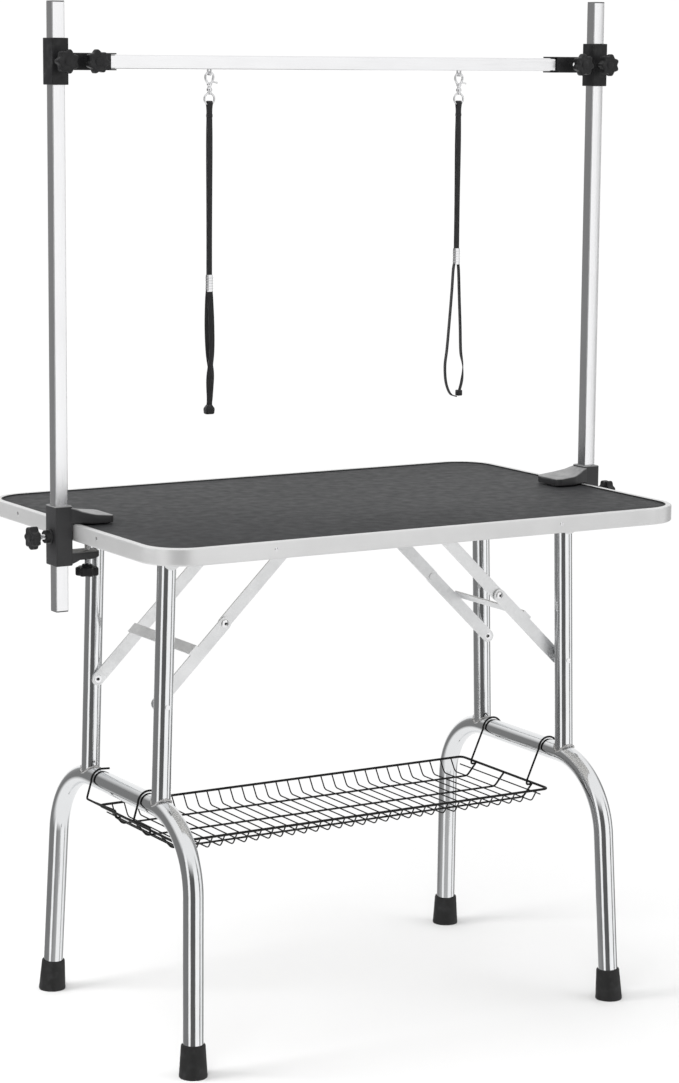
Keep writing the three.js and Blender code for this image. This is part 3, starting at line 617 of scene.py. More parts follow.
def build_braces():
    for name, side in SIDES:
        for plate in ("leg_hinge_plate", "brace_hinge_plate", "lower_brace_yoke"):
            dress(f"{name}_{plate}", ZINC, 0.0005)
        leg, yoke = f"{name}_leg", f"{name}_lower_links"
        top = Vector((side * (PIVOT_X - ARM), 0, PIVOT_Z))
        low = frame_point(side, 0, ARM)
        mid = (top + low) / 2
        marks = {"table": Shape(), leg: Shape(), yoke: Shape()}
        for end_name, end in ENDS:
            dress(f"{name}_{end_name}_upper_link", ZINC, 0.0005)
            x, y = side * PIVOT_X, end * UPRIGHT_Y
            half = UPRIGHT_R + EAR_GAP + EAR_THICK + SEAT
            bolt = Shape()
            pin(bolt, (x, y - half - 0.0005, PIVOT_Z), (x, y + half + 0.0005, PIVOT_Z), PIN_R)
            for way in (-1, 1):
                dome(bolt, (x, y + way * half, PIVOT_Z), Y * way, HEAD_R, 0.0024, 0.0008)
                painted_hollow_shade(marks["table"], (x, y + way * half, PIVOT_Z), Y * way, HEAD_R * 0.26, 0.0019)
            key = f"{name}_{end_name}_pivot_bolt"
            add_piece(f"{name}_{end_name}_pivot", bolt, CHROME, "table", [key])

            axis = Y * end
            inner = LINK_LOWER_Y - LINK_THICK / 2
            outer = UPRIGHT_Y + UPRIGHT_R + SEAT
            rivet = Shape()
            at = Vector((low.x, 0, low.z))
            pin(rivet, at + axis * inner, at + axis * (outer + 0.0005), PIN_R)
            collar = LINK_LOWER_Y + LINK_THICK / 2 + 0.00015
            rivet.sweep([at + axis * collar, at + axis * (UPRIGHT_Y - UPRIGHT_R)], COLLAR_R, 24)
            dome(rivet, at + axis * outer, axis, PIN_R + 0.0006, 0.0006)
            rivet.turned(
                [(0.0058, 0.0), (0.0056, 0.0003), (0.0030, 0.0004), (0.0024, 0.0001), (0.0004, 0.0001)],
                at + axis * inner, -axis, 24,
            )
            painted_hollow_shade(marks[leg], at + axis * inner, -axis, 0.0024, 0.0003)
            key = f"{name}_{end_name}_lower_rivet"
            add_piece(f"{name}_{end_name}_leg_rivet", rivet, CHROME, leg, [key])

            rivet = Shape()
            at = Vector((mid.x, 0, mid.z))
            outer = LINK_LOWER_Y + LINK_THICK / 2 + 0.00015
            pin(rivet, at + axis * inner, at + axis * (outer + 0.0004), PIN_R)
            dome(rivet, at + axis * outer, axis, HEAD_R - 0.001, 0.0019, 0.0007)
            painted_hollow_shade(marks[yoke], at + axis * outer, axis, HEAD_R * 0.24, 0.0015)
            key = f"{name}_{end_name}_mid_rivet"
            add_piece(f"{name}_{end_name}_link_rivet", rivet, CHROME, yoke, [key])
        # The black discs of painted shade in the rivet hollows, one piece for each body.
        for body, shape in marks.items():
            add_piece(f"{name}_{body}_rivet_hollow_shade", shape, RUBBER, body)


# ---------------- hand knobs
KNOB_R, KNOB_LOBE, KNOB_THICK, KNOB_LOBES = 0.0156, 0.0018, 0.013, 7


def lobed(by):
    """A knob's outline, moved in."""
    line = []
    for a in angles(112):
        wave = math.cos(KNOB_LOBES * a)
        r = KNOB_R + KNOB_LOBE * (wave if wave > 0 else wave * 0.9) - by
        line.append((r * math.cos(a), r * math.sin(a)))
    return line


def knob(shape, at, direction, turn):
    """A seven-lobed hand knob: soft edges, a shallow dish with a raised centre, and a collar behind."""
    direction = Vector(direction).normalized()
    u = direction.orthogonal().normalized()
    u = Matrix.Rotation(turn, 3, direction) @ u
    v = direction.cross(u)
    at = Vector(at)
    t = KNOB_THICK
    levels = (
        (0.0022, 0.0), (0.0007, 0.0006), (0.0, 0.0022), (0.0, t - 0.0030), (0.0005, t - 0.0012),
        (0.0019, t - 0.0002), (0.0034, t), (0.0052, t - 0.0005), (0.0090, t - 0.0009),
    )
    rings = [[at + direction * h + u * a + v * b for a, b in lobed(by)] for by, h in levels]
    shape.rings(rings)
    shape.turned(
        [(0.0062, t - 0.002), (0.0062, t - 0.0006), (0.0056, t - 0.0001), (0.0005, t)], at, direction, 28,
    )
    collar = [(0.0078, 0.001), (0.0078, -0.0030), (0.0070, -0.0038), (0.0030, -0.0038)]
    shape.turned(collar, at, direction, 28)


def stem(shape, at, direction, length):
    """A threaded shank: shallow rings on a rod, ending in a chamfer."""
    r, pitch = 0.004, 0.00125
    profile = [(r * 0.96, -0.0)]
    for i in range(int((length - 0.001) / pitch)):
        profile += [(r, -(i + 0.25) * pitch), (r * 0.88, -(i + 0.75) * pitch)]
    profile += [(r * 0.86, -length)]
    shape.turned(profile, at, direction, 20)


def hand_knob(name, at, direction, turn, length, body, node):
    """A knob with its shank, as two pieces on one body. The CAD node it replaces is given."""
    grip, shank = Shape(), Shape()
    knob(grip, at, direction, turn)
    stem(shank, at, direction, length)
    add_piece(f"{name}_grip", grip, PLASTIC, body, [node])
    add_piece(f"{name}_shank", shank, CHROME, body)


# ---------------- clamps
POST_X, POST_Y, POST_HALF, POST_WALL, PLUG_LIP = 0.470, -0.008, 0.010, 0.0015, 0.0016
BAR_Z = 1.453
CLAMP_LOW, CLAMP_HIGH = heights("left_clamp")
CLAMP_IN = TOP_X + 0.0008
CLAMP_WIDE, CLAMP_DEEP = 0.028, 0.036
LOCK_Z, SCREW_X, JAW_TOP, SCREW_KNOB_Z = 0.770, 0.425, 0.746, 0.714
BORE_HALF, ARM_REACH, JAW_REACH, LOCK_STAND, SHANK_GAP = 0.0104, 0.061, 0.044, 0.022, 0.0004


def upright_at(x):
    """Places a flat outline level round an upright axis in line with the posts."""
    return lambda a, b, h: (x + a, POST_Y + b, h)


def section_yz(x, half, low, high, soft):
    """A softened rectangle square to X, centred on the post."""
    mid, tall = (low + high) / 2, (high - low) / 2
    soft = min(soft, tall * 0.9, half * 0.9)
    return [(x, POST_Y + a, mid + b) for a, b in rounded(half, tall, soft, 4)]


def build_clamp(name, side):
    shape = Shape()
    outer = CLAMP_IN + CLAMP_WIDE
    middle = side * (CLAMP_IN + CLAMP_WIDE / 2)
    body = rounded(CLAMP_WIDE / 2, CLAMP_DEEP / 2, 0.0035, 5)
    bore = [(a + side * POST_X - middle, b) for a, b in rounded(BORE_HALF, BORE_HALF, 0.0012, 5)]
    shape.hollow(body, bore, CLAMP_LOW, CLAMP_HIGH, 0.0010, upright_at(middle))
    under = TOP_Z + 0.0004
    tip = CLAMP_IN - ARM_REACH
    rows = (
        (tip, 0.0262, 0.0096, 0.0016), (tip + 0.0010, 0.0276, 0.0108, 0.0015),
        (tip + 0.0052, 0.0317, 0.0113, 0.0014), (tip + 0.0062, 0.0320, 0.0114, 0.0014),
        (CLAMP_IN - 0.0300, 0.0320, 0.0140, 0.0014), (CLAMP_IN - 0.0240, 0.0300, 0.0155, 0.0018),
        (CLAMP_IN - 0.0120, 0.0240, 0.0190, 0.0026), (CLAMP_IN - 0.0050, 0.0208, 0.0222, 0.0028),
        (CLAMP_IN + 0.0030, 0.0186, 0.0248, 0.0030), (CLAMP_IN + 0.0034, 0.0184, 0.0249, 0.0030),
    )
    shape.rings([section_yz(side * x, half, under, under + tall, soft) for x, half, tall, soft in rows])
    jaw_tip = CLAMP_IN - JAW_REACH
    rows = (
        (jaw_tip, 0.0130, 0.0088), (jaw_tip + 0.0012, 0.0150, 0.0092), (jaw_tip + 0.0070, 0.0160, 0.0120),
        (CLAMP_IN - 0.0120, 0.0160, 0.0122), (CLAMP_IN - 0.0060, 0.0163, 0.0150),
        (CLAMP_IN + 0.0025, 0.0168, 0.0176), (CLAMP_IN + 0.0030, 0.0168, 0.0176),
    )
    shape.rings([section_yz(side * x, half, JAW_TOP - thick, JAW_TOP, 0.0018) for x, half, thick in rows])
    holder = f"{name}_clamp_body"
    add_piece(f"{name}_clamp_casting", shape, CASTING, holder, [f"{name}_clamp"])

    collar = Shape()
    collar.turned(
        [(0.0044, -0.002), (0.0112, -0.002), (0.0112, 0.0020), (0.0095, 0.0034), (0.0095, 0.0096),
         (0.0086, 0.0106), (0.0052, 0.0106), (0.0044, 0.0100)],
        (side * outer, POST_Y, LOCK_Z), (side, 0, 0), 28, closed=True,
    )
    add_piece(f"{name}_clamp_boss", collar, PLASTIC, holder)

    face = outer + LOCK_STAND
    hand_knob(
        f"{name}_lock", (side * face, POST_Y, LOCK_Z), (side, 0, 0), 0.3,
        face - POST_X - POST_HALF - SHANK_GAP, f"{name}_lock_knob", f"{name}_clamp_lock_knob",
    )

    pad_low, pad_high = heights(f"{name}_clamp_pad")
    puck = Shape()
    puck.turned(
        [(0.0030, pad_low), (0.0078, pad_low), (0.0088, pad_low + 0.0008), (0.0090, pad_high - 0.0006),
         (0.0084, pad_high), (0.0004, pad_high)],
        (side * SCREW_X, POST_Y, 0), Z, 32,
    )
    add_piece(f"{name}_screw_pad", puck, RUBBER, f"{name}_pad", [f"{name}_clamp_pad"])
    knob_top = SCREW_KNOB_Z + KNOB_THICK / 2
    hand_knob(
        f"{name}_screw", (side * SCREW_X, POST_Y, knob_top), (0, 0, -1), 0.2,
        pad_low - 0.0003 - knob_top, f"{name}_screw", f"{name}_clamp_screw",
    )


# ---------------- posts, crossbar, connectors
SLEEVE_X, SLEEVE_Y, SLEEVE_TALL, BAR_SLEEVE_Y = 0.01325, 0.0155, 0.066, 0.01225
MOUTH_X, MOUTH_CUT, BAR_KNOB_X, KNOB_STAND = 0.380, 0.0085, 0.422, 0.015
STAPLE_DROP, STAPLE_HALF, STAPLE_R = 0.008, 0.0045, 0.0015


def along_bar(a, b, h):
    """Stands a section of the crossbar up square to X."""
    return h, POST_Y + a, BAR_Z + b


def build_arm():
    tube = rounded(POST_HALF, POST_HALF, 0.0016, 5)
    core = rounded(POST_HALF - POST_WALL, POST_HALF - POST_WALL, 0.0005, 5)
    for name, side in SIDES:
        low, high = heights(f"{name}_post")
        place = upright_at(side * POST_X)
        post = Shape()
        post.hollow(tube, core, low + PLUG_LIP, high - PLUG_LIP, 0.0003, place)
        body = f"{name}_post_tube"
        add_piece(f"{name}_post_tube_skin", post, POST_STEEL, body, [f"{name}_post"])
        plugs = Shape()
        for first, last in ((low, low + PLUG_LIP), (high - PLUG_LIP, high)):
            plugs.pillow(rounded(POST_HALF, POST_HALF, 0.0020, 5), first, last, 0.0004, place)
        add_piece(f"{name}_post_plugs", plugs, GREY_PLASTIC, body)
    bar = Shape()
    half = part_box("crossbar")[1].x
    bar.hollow(tube, core, -half, half, 0.0003, along_bar)
    low = BAR_Z - POST_HALF - STAPLE_DROP
    near, far, root = POST_Y - STAPLE_HALF, POST_Y + STAPLE_HALF, low + STAPLE_DROP + 0.001
    for x in (NOOSE_LEFT, NOOSE_RIGHT):
        staple = bent([(x, near, root), (x, near, low), (x, far, low), (x, far, root)], 0.003)
        bar.sweep(staple, STAPLE_R, 14, normal=X)
    add_piece("crossbar_tube", bar, BAR_STEEL, "crossbar_set", ["crossbar"])
    for name, side in SIDES:
        place = upright_at(side * POST_X)
        sleeve = Shape()
        slot = rounded(BORE_HALF, BORE_HALF, 0.0012, 5)
        sleeve.hollow(
            rounded(SLEEVE_X, SLEEVE_Y, 0.0020, 5), slot, BAR_Z - SLEEVE_TALL / 2, BAR_Z + SLEEVE_TALL / 2,
            0.0006, place,
        )
        low, high = sorted((side * (MOUTH_X + MOUTH_CUT), side * (POST_X - SLEEVE_X + 0.001)))
        sleeve.hollow(rounded(SLEEVE_X, BAR_SLEEVE_Y, 0.0016, 5), slot, low, high, 0.0006, along_bar)
        channel = [
            (-SLEEVE_X, -BAR_SLEEVE_Y), (SLEEVE_X, -BAR_SLEEVE_Y), (SLEEVE_X, BAR_SLEEVE_Y),
            (-SLEEVE_X, BAR_SLEEVE_Y), (-SLEEVE_X, BORE_HALF), (BORE_HALF, BORE_HALF),
            (BORE_HALF, -BORE_HALF), (-SLEEVE_X, -BORE_HALF),
        ]
        low, high = sorted((side * MOUTH_X, side * (MOUTH_X + MOUTH_CUT + 0.0003)))
        sleeve.pillow(channel, low, high, 0.0004, along_bar)
        key = f"{name}_connector"
        add_piece(f"{name}_corner_sleeve", sleeve, PLASTIC, "crossbar_set", [key])
        face = SLEEVE_Y + KNOB_STAND
        for label, x, turn in (("post", POST_X, 0.1), ("bar", BAR_KNOB_X, 0.45)):
            hand_knob(
                f"{name}_{label}", (side * x, POST_Y - face, BAR_Z), (0, -1, 0), turn,
                face - POST_HALF - SHANK_GAP, f"{name}_{label}_lock", f"{name}_{label}_knob",
            )


# ---------------- wire tray and hangers
TRAY_LEFT, TRAY_RIGHT, TRAY_HALF, RIM_Z, TRAY_DEEP, TRAY_SLOPE = -0.342, 0.326, 0.125, 0.320, 0.020, 0.018
RIM_R, WIRE_R, FLOOR_R, TRAY_PITCH, FLOOR_Y = 0.002, 0.0011, 0.0016, 0.0205, 0.081
HANGER_R, HANGER_GAP, BAIL_Y, BAIL_FOOT_Y = 0.0016, 0.001, 0.078, 0.057
HOOK_Y = {"front": -0.073, "rear": 0.088}


def build_tray():
    tray = Shape()
    corners = ((TRAY_LEFT, -1), (TRAY_RIGHT, -1), (TRAY_RIGHT, 1), (TRAY_LEFT, 1))
    rim = [(x, way * TRAY_HALF, RIM_Z) for x, way in corners]
    tray.sweep(bent(rim, 0.010, 6, closed=True), RIM_R, 12, closed=True, normal=Z)
    floor_z = RIM_Z - TRAY_DEEP
    first = TRAY_LEFT + TRAY_SLOPE + 0.004
    span = TRAY_RIGHT - TRAY_LEFT - 2 * TRAY_SLOPE - 0.008
    count = round(span / TRAY_PITCH)
    foot = TRAY_HALF - TRAY_SLOPE * 0.75
    for i in range(count + 1):
        x = first + i * span / count
        rib = [(x, -TRAY_HALF, RIM_Z), (x, -foot, floor_z), (x, foot, floor_z), (x, TRAY_HALF, RIM_Z)]
        tray.sweep(bent(rib, 0.006, 5), WIRE_R, 8, normal=X)
    for y in (-FLOOR_Y, 0, FLOOR_Y):
        path = bent([
            (TRAY_LEFT, y, RIM_Z), (TRAY_LEFT + TRAY_SLOPE, y, floor_z - 0.001),
            (TRAY_RIGHT - TRAY_SLOPE, y, floor_z - 0.001), (TRAY_RIGHT, y, RIM_Z),
        ], 0.005, 5)
        tray.sweep(path, FLOOR_R, 8, normal=Y)
    reach = TRAY_HALF - TRAY_SLOPE / 2
    for x in (TRAY_LEFT + TRAY_SLOPE / 2, TRAY_RIGHT - TRAY_SLOPE / 2):
        tray.sweep([(x, -reach, RIM_Z - 0.010), (x, reach, RIM_Z - 0.010)], WIRE_R, 8, normal=Z)
    add_piece("tray_wires", tray, WIRE, "table", ["wire_tray"])

    def round_bow(side, y, start, stop):
        """The bend of a hanger over the bow tube."""
        centre = frame_point(side, 0, BOW_D)
        r = BOW_R + HANGER_GAP + HANGER_R
        steps = max(2, round(abs(stop - start) / 12))
        points = []
        for i in range(steps + 1):
            a = math.radians(start + (stop - start) * i / steps)
            points.append((centre.x + side * r * math.cos(a), y, centre.z + r * math.sin(a)))
        return points

    under = RIM_Z - RIM_R - HANGER_R - 0.0005
    inside = RIM_R + HANGER_R + 0.002
    for end_name, y in HOOK_Y.items():
        leg_x = TRAY_RIGHT - inside
        bow = round_bow(1, y, 30, 180)
        foot = [(leg_x, y, RIM_Z + 0.002), (leg_x, y, under), (TRAY_RIGHT + 0.003, y, under)]
        tail = bent(bow[-1:] + foot, 0.003, 5)
        hook = Shape()
        hook.sweep(bow + tail[1:], HANGER_R, 12, normal=Y)
        key = f"right_{end_name}_tray_hook"
        add_piece(f"right_{end_name}_hook_wire", hook, WIRE, "right_leg", [key])
    bar_x, bar_z = TRAY_LEFT - 0.044, RIM_Z + 0.026

    def tip(y):
        """One hook of the bail, with its short straight end."""
        arc = round_bow(-1, y, 90, 0)
        return [(arc[0][0] + 0.013, y, arc[0][2] - 0.0008)] + arc

    bail = Shape()
    left, right = tip(BAIL_Y), tip(-BAIL_Y)
    middle = bent([left[-1], (bar_x, BAIL_Y, bar_z), (bar_x, -BAIL_Y, bar_z), right[-1]], 0.004, 5)
    bail.sweep(left + middle[1:-1] + right[::-1], HANGER_R, 12)
    leg_x = TRAY_LEFT - inside
    for end in (-1, 1):
        y = end * BAIL_FOOT_Y
        bail.sweep(bent([
            (bar_x, y, bar_z), (leg_x, y, RIM_Z + 0.007), (leg_x, y, under), (TRAY_LEFT + 0.0026, y, under),
        ], 0.003, 5), HANGER_R, 12, normal=Y)
    add_piece("left_bail_wire", bail, WIRE, "left_leg", ["left_tray_bail"])


# ---------------- nooses
NOOSE_LEFT, NOOSE_RIGHT = -0.222, 0.214
SNAP_WIRE = 0.0016
HANG_Z = BAR_Z - POST_HALF - STAPLE_DROP + STAPLE_R + SNAP_WIRE + 0.0004
RING_TALL, RING_WIDE, SNAP_LOW = 0.017, 0.016, 0.012
EYE_TOP = HANG_Z - RING_TALL + 0.001 - SNAP_LOW - 0.0003
EYE_R, EYE_WIRE = 0.0082, 0.0015
STRAP_WIDE, STRAP_THICK, LOOP_LOW = 0.0084, 0.0016, 0.936
NOOSES = (("left", NOOSE_LEFT, 1.130), ("right", NOOSE_RIGHT, 1.158))


def ribbon(shape, path, widths, wide):
    """A flat strap with rounded edges along a path."""
    section = rounded(wide / 2, STRAP_THICK / 2, STRAP_THICK * 0.42, 3)
    shape.sweep(path, 1.0, section=section, widths=widths)


def shares(path):
    """How far along the path each of its points is, from 0 to 1."""
    return [i / (len(path) - 1) for i in range(len(path))]


def build_snap(name, x):
    """A teardrop loop on a barrel, with the raised lever of its gate."""
    y = POST_Y
    shape = Shape()
    centre = HANG_Z - RING_TALL / 2
    loop, radii = [], []
    for a in angles(40):
        narrow = 0.80 + 0.20 * math.cos(a)
        loop.append((x + RING_WIDE / 2 * math.sin(a) * narrow, y, centre + RING_TALL / 2 * math.cos(a)))
        radii.append(SNAP_WIRE + 0.0003 * (1 - math.cos(a)) / 2)
    shape.sweep(loop, radii, 12, closed=True, normal=Y)
    top = centre - RING_TALL / 2 + 0.001
    shape.turned(
        [(0.0005, 0.0015), (0.0022, 0.0013), (0.0036, 0.0002), (0.0040, -0.0014), (0.0034, -0.0030),
         (0.0025, -0.0042), (0.0026, -0.0058), (0.0038, -0.0072), (0.0042, -0.0088), (0.0040, -0.0108),
         (0.0034, -0.0118), (0.0005, -0.0120)],
        (x, y, top), Z, 24,
    )
    lever = curve([
        (x + 0.0058, y, top + 0.0082), (x + 0.0050, y, top + 0.0052), (x + 0.0066, y, top + 0.0026),
        (x + 0.0098, y, top + 0.0016), (x + 0.0134, y, top + 0.0008),
    ], 6)
    shape.sweep(lever, [0.0012] * (len(lever) - 3) + [0.0013, 0.0015, 0.0011], 10, normal=Y)
    add_piece(f"{name}_trigger_snap", shape, CHROME, f"{name}_snap", [f"{name}_noose_snap"], 60)


def build_eye(name, x):
    """A ring under a small swivel."""
    shape = Shape()
    centre = EYE_TOP - 0.002 - EYE_R
    ring = [(x + EYE_R * math.sin(a), POST_Y, centre + EYE_R * math.cos(a)) for a in angles(40)]
    shape.sweep(ring, EYE_WIRE, 12, closed=True, normal=Y)
    swivel = [
        (0.0005, 0.0), (0.0028, 0.0), (0.0034, -0.0008), (0.0034, -0.0024), (0.0026, -0.0036),
        (0.0005, -0.0040),
    ]
    shape.turned(swivel, (x, POST_Y, EYE_TOP), Z, 24)
    add_piece(f"{name}_swivel_ring", shape, CHROME, f"{name}_noose", [f"{name}_noose_eye"], 60)


def build_straps():
    ring_low = EYE_TOP - 0.002 - 2 * EYE_R
    for name, x, slider_z in NOOSES:
        y = POST_Y
        build_snap(name, x)
        build_eye(name, x)
        strap = Shape()
        fold = EYE_WIRE + 0.0010
        top = [
            (x, y - 0.0010, slider_z), (x, y - 0.0009, slider_z + 0.08),
            (x + 0.0006, y - 0.0010, ring_low - 0.06), (x, y - 0.0011, ring_low - 0.014),
            (x, y - fold * 0.9, ring_low - 0.002),
        ]
        turn_r, turn_z = fold + STRAP_THICK / 2, ring_low + EYE_WIRE
        over = [
            (x, y - turn_r * math.cos(a), turn_z + turn_r * math.sin(a))
            for a in (math.pi * i / 8 for i in range(9))
        ]
        back = [(2 * x - a, 2 * y - b, c) for a, b, c in reversed(top)]
        path = curve(top + over + back, 5)
        ribbon(strap, path, [X] * len(path), STRAP_WIDE)
        stitch_z = ring_low - 0.016
        strap.pillow(
            rounded(STRAP_WIDE / 2 + 0.0005, 0.0024, 0.0012, 3), stitch_z - 0.0022, stitch_z + 0.0022,
            0.0006, upright_at(x),
        )
        add_loop(strap, name, x, slider_z)
        key, body = f"{name}_noose_strap", f"{name}_noose"
        add_piece(f"{name}_webbing_strap", strap, WEBBING, body, [key], 50)

        slider = Shape()
        half = 0.0125
        rows = (
            (-half, 0.90), (-half + 0.001, 0.97), (-half * 0.55, 1.0), (-half * 0.2, 0.95),
            (half * 0.2, 0.95), (half * 0.55, 1.0), (half - 0.001, 0.97), (half, 0.90),
        )
        slider.rings([
            [(x + a * k, POST_Y + b * k, slider_z + h) for a, b in rounded(0.0048, 0.0040, 0.0022, 5)]
            for h, k in rows
        ])
        for turn in range(5):
            h = -0.008 + turn * 0.004
            ring = [(x + a, POST_Y + b, slider_z + h) for a, b in rounded(0.0049, 0.0041, 0.0022, 5)]
            slider.sweep(ring, 0.0005, 8, closed=True, normal=Z)
        key = f"{name}_noose_slider"
        add_piece(f"{name}_slide_clip", slider, CHROME, f"{name}_slider", [key], 50)


def add_loop(strap, name, x, slider_z):
    """The neck loop below the slider: hanging closed on the left, open on the right."""
    y = POST_Y
    start = slider_z - 0.004
    if name == "left":
        for way in (-1, 1):
            path = curve([
                (x, y + way * 0.0010, start), (x - 0.0004 - way * 0.0014, y + way * 0.0022, start - 0.024),
                (x + 0.0002 - way * 0.0018, y + way * 0.0036, start - 0.060),
                (x + 0.0016 - way * 0.0010, y + way * 0.0030, start - 0.100),
                (x + 0.0022 + way * 0.0028, y + way * 0.0016, start - 0.135),
                (x + 0.0012 + way * 0.0012, y + way * 0.0012, start - 0.165),
                (x, y + way * 0.0010, LOOP_LOW + 0.010),
            ], 7)
            widths = []
            for t in shares(path):
                a = way * (0.25 * math.sin(2.2 * math.pi * t) + 0.5 * math.exp(-((t - 0.72) / 0.1) ** 2))
                widths.append(Vector((math.cos(a), math.sin(a), 0)))
            ribbon(strap, path, widths, STRAP_WIDE * 1.08)
        levels = (
            (0.0056, 0.0), (0.0070, 0.0012), (0.0076, 0.0072), (0.0070, 0.0096), (0.0050, 0.0125),
            (0.0044, 0.0136),
        )
        low = LOOP_LOW - 0.001
        strap.rings([
            [(x + a, y + b, low + h) for a, b in rounded(half, half * 0.72, half * 0.28, 3)]
            for half, h in levels
        ])
        return
    low = LOOP_LOW
    left = [
        (x - 0.0010, y, start), (x - 0.0050, y, start - 0.014), (x - 0.0074, y, start - 0.050),
        (x - 0.0110, y, start - 0.095), (x - 0.0150, y, start - 0.140), (x - 0.0182, y, low + 0.052),
        (x - 0.0160, y, low + 0.026), (x - 0.0080, y, low + 0.008), (x + 0.0030, y, low + 0.003),
    ]
    right = [
        (x + 0.0010, y, start), (x + 0.0042, y, start - 0.014), (x + 0.0066, y, start - 0.060),
        (x + 0.0090, y, start - 0.105), (x + 0.0108, y, start - 0.145), (x + 0.0150, y, low + 0.050),
        (x + 0.0136, y, low + 0.028), (x + 0.0086, y, low + 0.010),
    ]
    path = curve(left, 7)
    ribbon(strap, path, [Y] * len(path), STRAP_WIDE * 0.8)
    path = curve(right, 7)
    widths = []
    for t in shares(path):
        a = 1.15 * max(0.0, min(1.0, (t - 0.6) / 0.25))
        widths.append(Vector((math.sin(a), math.cos(a), 0)))
    ribbon(strap, path, widths, STRAP_WIDE * 0.85)
    strap.pillow(
        rounded(0.0046, 0.0042, 0.0018, 3), low + 0.004, low + 0.013, 0.0012,
        upright_at(x + 0.0082),
    )


# ---------------- stage, light and camera
CAMERA = Vector((-2.3077, -3.8750, 1.4626))
HEADING, PITCH, ROLL = math.radians(30.9), math.radians(9.3), math.radians(0.47)
LENS, SENSOR = 98.4, 36.0


def build_camera():
    """Looks along the heading (from +Y towards +X), tipped down by the pitch."""
    forward = Vector((
        math.sin(HEADING) * math.cos(PITCH), math.cos(HEADING) * math.cos(PITCH), -math.sin(PITCH),
    ))
    level = forward.cross(Z).normalized()
    over = level.cross(forward)
    right = level * math.cos(ROLL) + over * math.sin(ROLL)
    up = over * math.cos(ROLL) - level * math.sin(ROLL)
    data = bpy.data.cameras.new("camera")
    data.lens, data.sensor_width, data.sensor_fit = LENS, SENSOR, "AUTO"
    data.clip_start, data.clip_end = 0.05, 100
    camera = bpy.data.objects.new("camera", data)
    camera.matrix_world = Matrix((
        (right.x, up.x, -forward.x, CAMERA.x),
        (right.y, up.y, -forward.y, CAMERA.y),
        (right.z, up.z, -forward.z, CAMERA.z),
        (0, 0, 0, 1),
    ))
    bpy.context.scene.collection.objects.link(camera)
    bpy.context.scene.camera = camera


FLOOR_FADE = (0.55, 1.15)

# Tone of the studio round the table, by angle from the camera's side: white cards and dark gaps.
STUDIO = (
    (-180, 1.0), (-154, 1.0), (-144, 0.33), (-130, 0.22), (-60, 0.20), (-52, 0.22), (-49, 1.1), (-29, 1.1),
    (-25, 0.115), (22, 0.105), (27, 1.08), (72, 1.08), (75, 0.16), (85, 0.16), (88, 1.05), (112, 1.0),
    (119, 0.26), (144, 0.26), (156, 0.9), (180, 1.0),
)
# Share of white, by height of the direction: 0 straight down, 1 straight up.
OVERHEAD = ((0.24, 1.0), (0.35, 0.0), (0.66, 0.0), (0.80, 1.0))
# Tones of the white overhead and below, of the room as it lights the table, and of the backdrop.
WHITE, ROOM, BACKDROP = 0.95, 0.86, 1.02

FLOOR_REACH, FLOOR_TONE = 14, 0.70
LIGHT_AIM = Vector((0, 0, 0.7))
# Name, place, size and power.
LIGHTS = (
    ("key", (-1.8, -2.4, 3.4), 2.2, 60), ("fill", (2.6, -2.0, 2.6), 2.6, 30),
    ("top", (0, 0.6, 3.8), 3.0, 45), ("side", (-3.4, 0.9, 1.2), 2.0, 150),
)


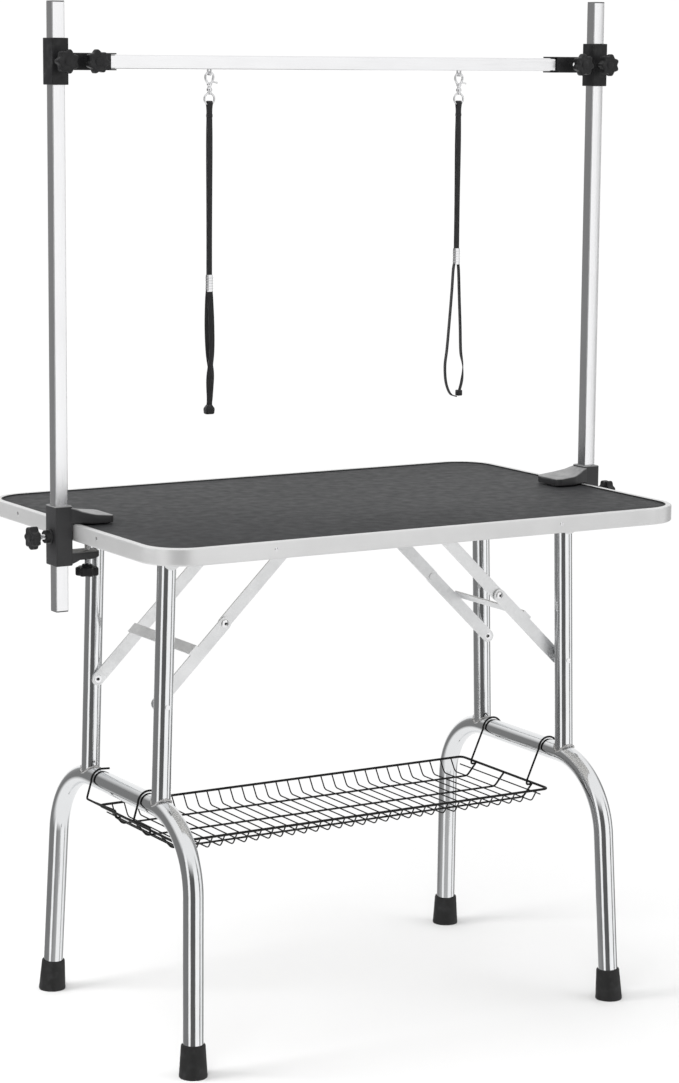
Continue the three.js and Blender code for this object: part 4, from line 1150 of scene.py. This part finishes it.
def build_world():
    """Cards and gaps for the metal to reflect, an even room for the rest, and a white backdrop."""
    world = bpy.data.worlds.new("studio")
    bpy.context.scene.world = world
    world.use_nodes = True
    g = Graph(world.node_tree)
    g.tree.nodes.clear()
    toward = g.make("ShaderNodeTexCoord").outputs["Generated"]
    dx, dy, dz = g.make("ShaderNodeSeparateXYZ", Vector=toward).outputs
    sine, cosine = math.sin(HEADING), math.cos(HEADING)
    back = g.math("ADD", g.math("MULTIPLY", dx, -sine), g.math("MULTIPLY", dy, -cosine))
    right = g.math("ADD", g.math("MULTIPLY", dx, cosine), g.math("MULTIPLY", dy, -sine))
    turn = g.math("MULTIPLY_ADD", g.math("ARCTAN2", right, back), 1 / (2 * math.pi), 0.5)
    cards = g.ramp(turn, [(angle / 360 + 0.5, tone) for angle, tone in STUDIO])
    studio = g.mixed(g.ramp(g.math("MULTIPLY_ADD", dz, 0.5, 0.5), OVERHEAD), cards, (WHITE,) * 3)
    rays = g.make("ShaderNodeLightPath").outputs
    seen = g.mixed(rays["Is Glossy Ray"], (ROOM,) * 3, studio)
    shown = g.mixed(rays["Is Camera Ray"], seen, (BACKDROP,) * 3)
    glow = g.make("ShaderNodeBackground", Color=shown)
    g.make("ShaderNodeOutputWorld", Surface=glow.outputs[0])


def pale_floor():
    """Matte white round the table, fading to an even glow so that no far edge shows."""
    n = Nodes("pale_floor")
    n.finish((FLOOR_TONE,) * 3 + (1,), 1.0, 0.0, None, 0.0)
    away = n.make("ShaderNodeVectorMath", Vector=n.place)
    away.operation = "LENGTH"
    share = n.between(away.outputs["Value"], 0, 1, FLOOR_FADE)
    glow = n.make("ShaderNodeEmission", Color=(1.0, 1.0, 1.0, 1), Strength=BACKDROP)
    blend = n.make("ShaderNodeMixShader")
    for socket, value in zip(blend.inputs, (share, n.shader.outputs[0], glow.outputs[0])):
        n.feed(socket, value)
    n.feed(n.tree.nodes["Material Output"].inputs["Surface"], blend.outputs[0])
    return n.material


def build_stage():
    mesh = bpy.data.meshes.new("floor")
    corners = ((-1, -1), (1, -1), (1, 1), (-1, 1))
    mesh.from_pydata([(a * FLOOR_REACH, b * FLOOR_REACH, 0) for a, b in corners], [], [(0, 1, 2, 3)])
    floor = bpy.data.objects.new("floor", mesh)
    bpy.context.scene.collection.objects.link(floor)
    mesh.materials.append(pale_floor())
    floor.visible_glossy = False
    for name, spot, size, power in LIGHTS:
        data = bpy.data.lights.new(name, "AREA")
        data.size, data.energy = size, power
        light = bpy.data.objects.new(name, data)
        light.location = spot
        light.rotation_mode = "QUATERNION"
        light.rotation_quaternion = (LIGHT_AIM - Vector(spot)).to_track_quat("-Z", "Y")
        light.visible_glossy = False
        bpy.context.scene.collection.objects.link(light)


build_top()
build_legs()
build_braces()
for clamp_name, clamp_side in SIDES:
    build_clamp(clamp_name, clamp_side)
build_arm()
build_tray()
build_straps()
build_camera()
build_world()
build_stage()
bpy.context.scene.view_settings.view_transform = "Standard"
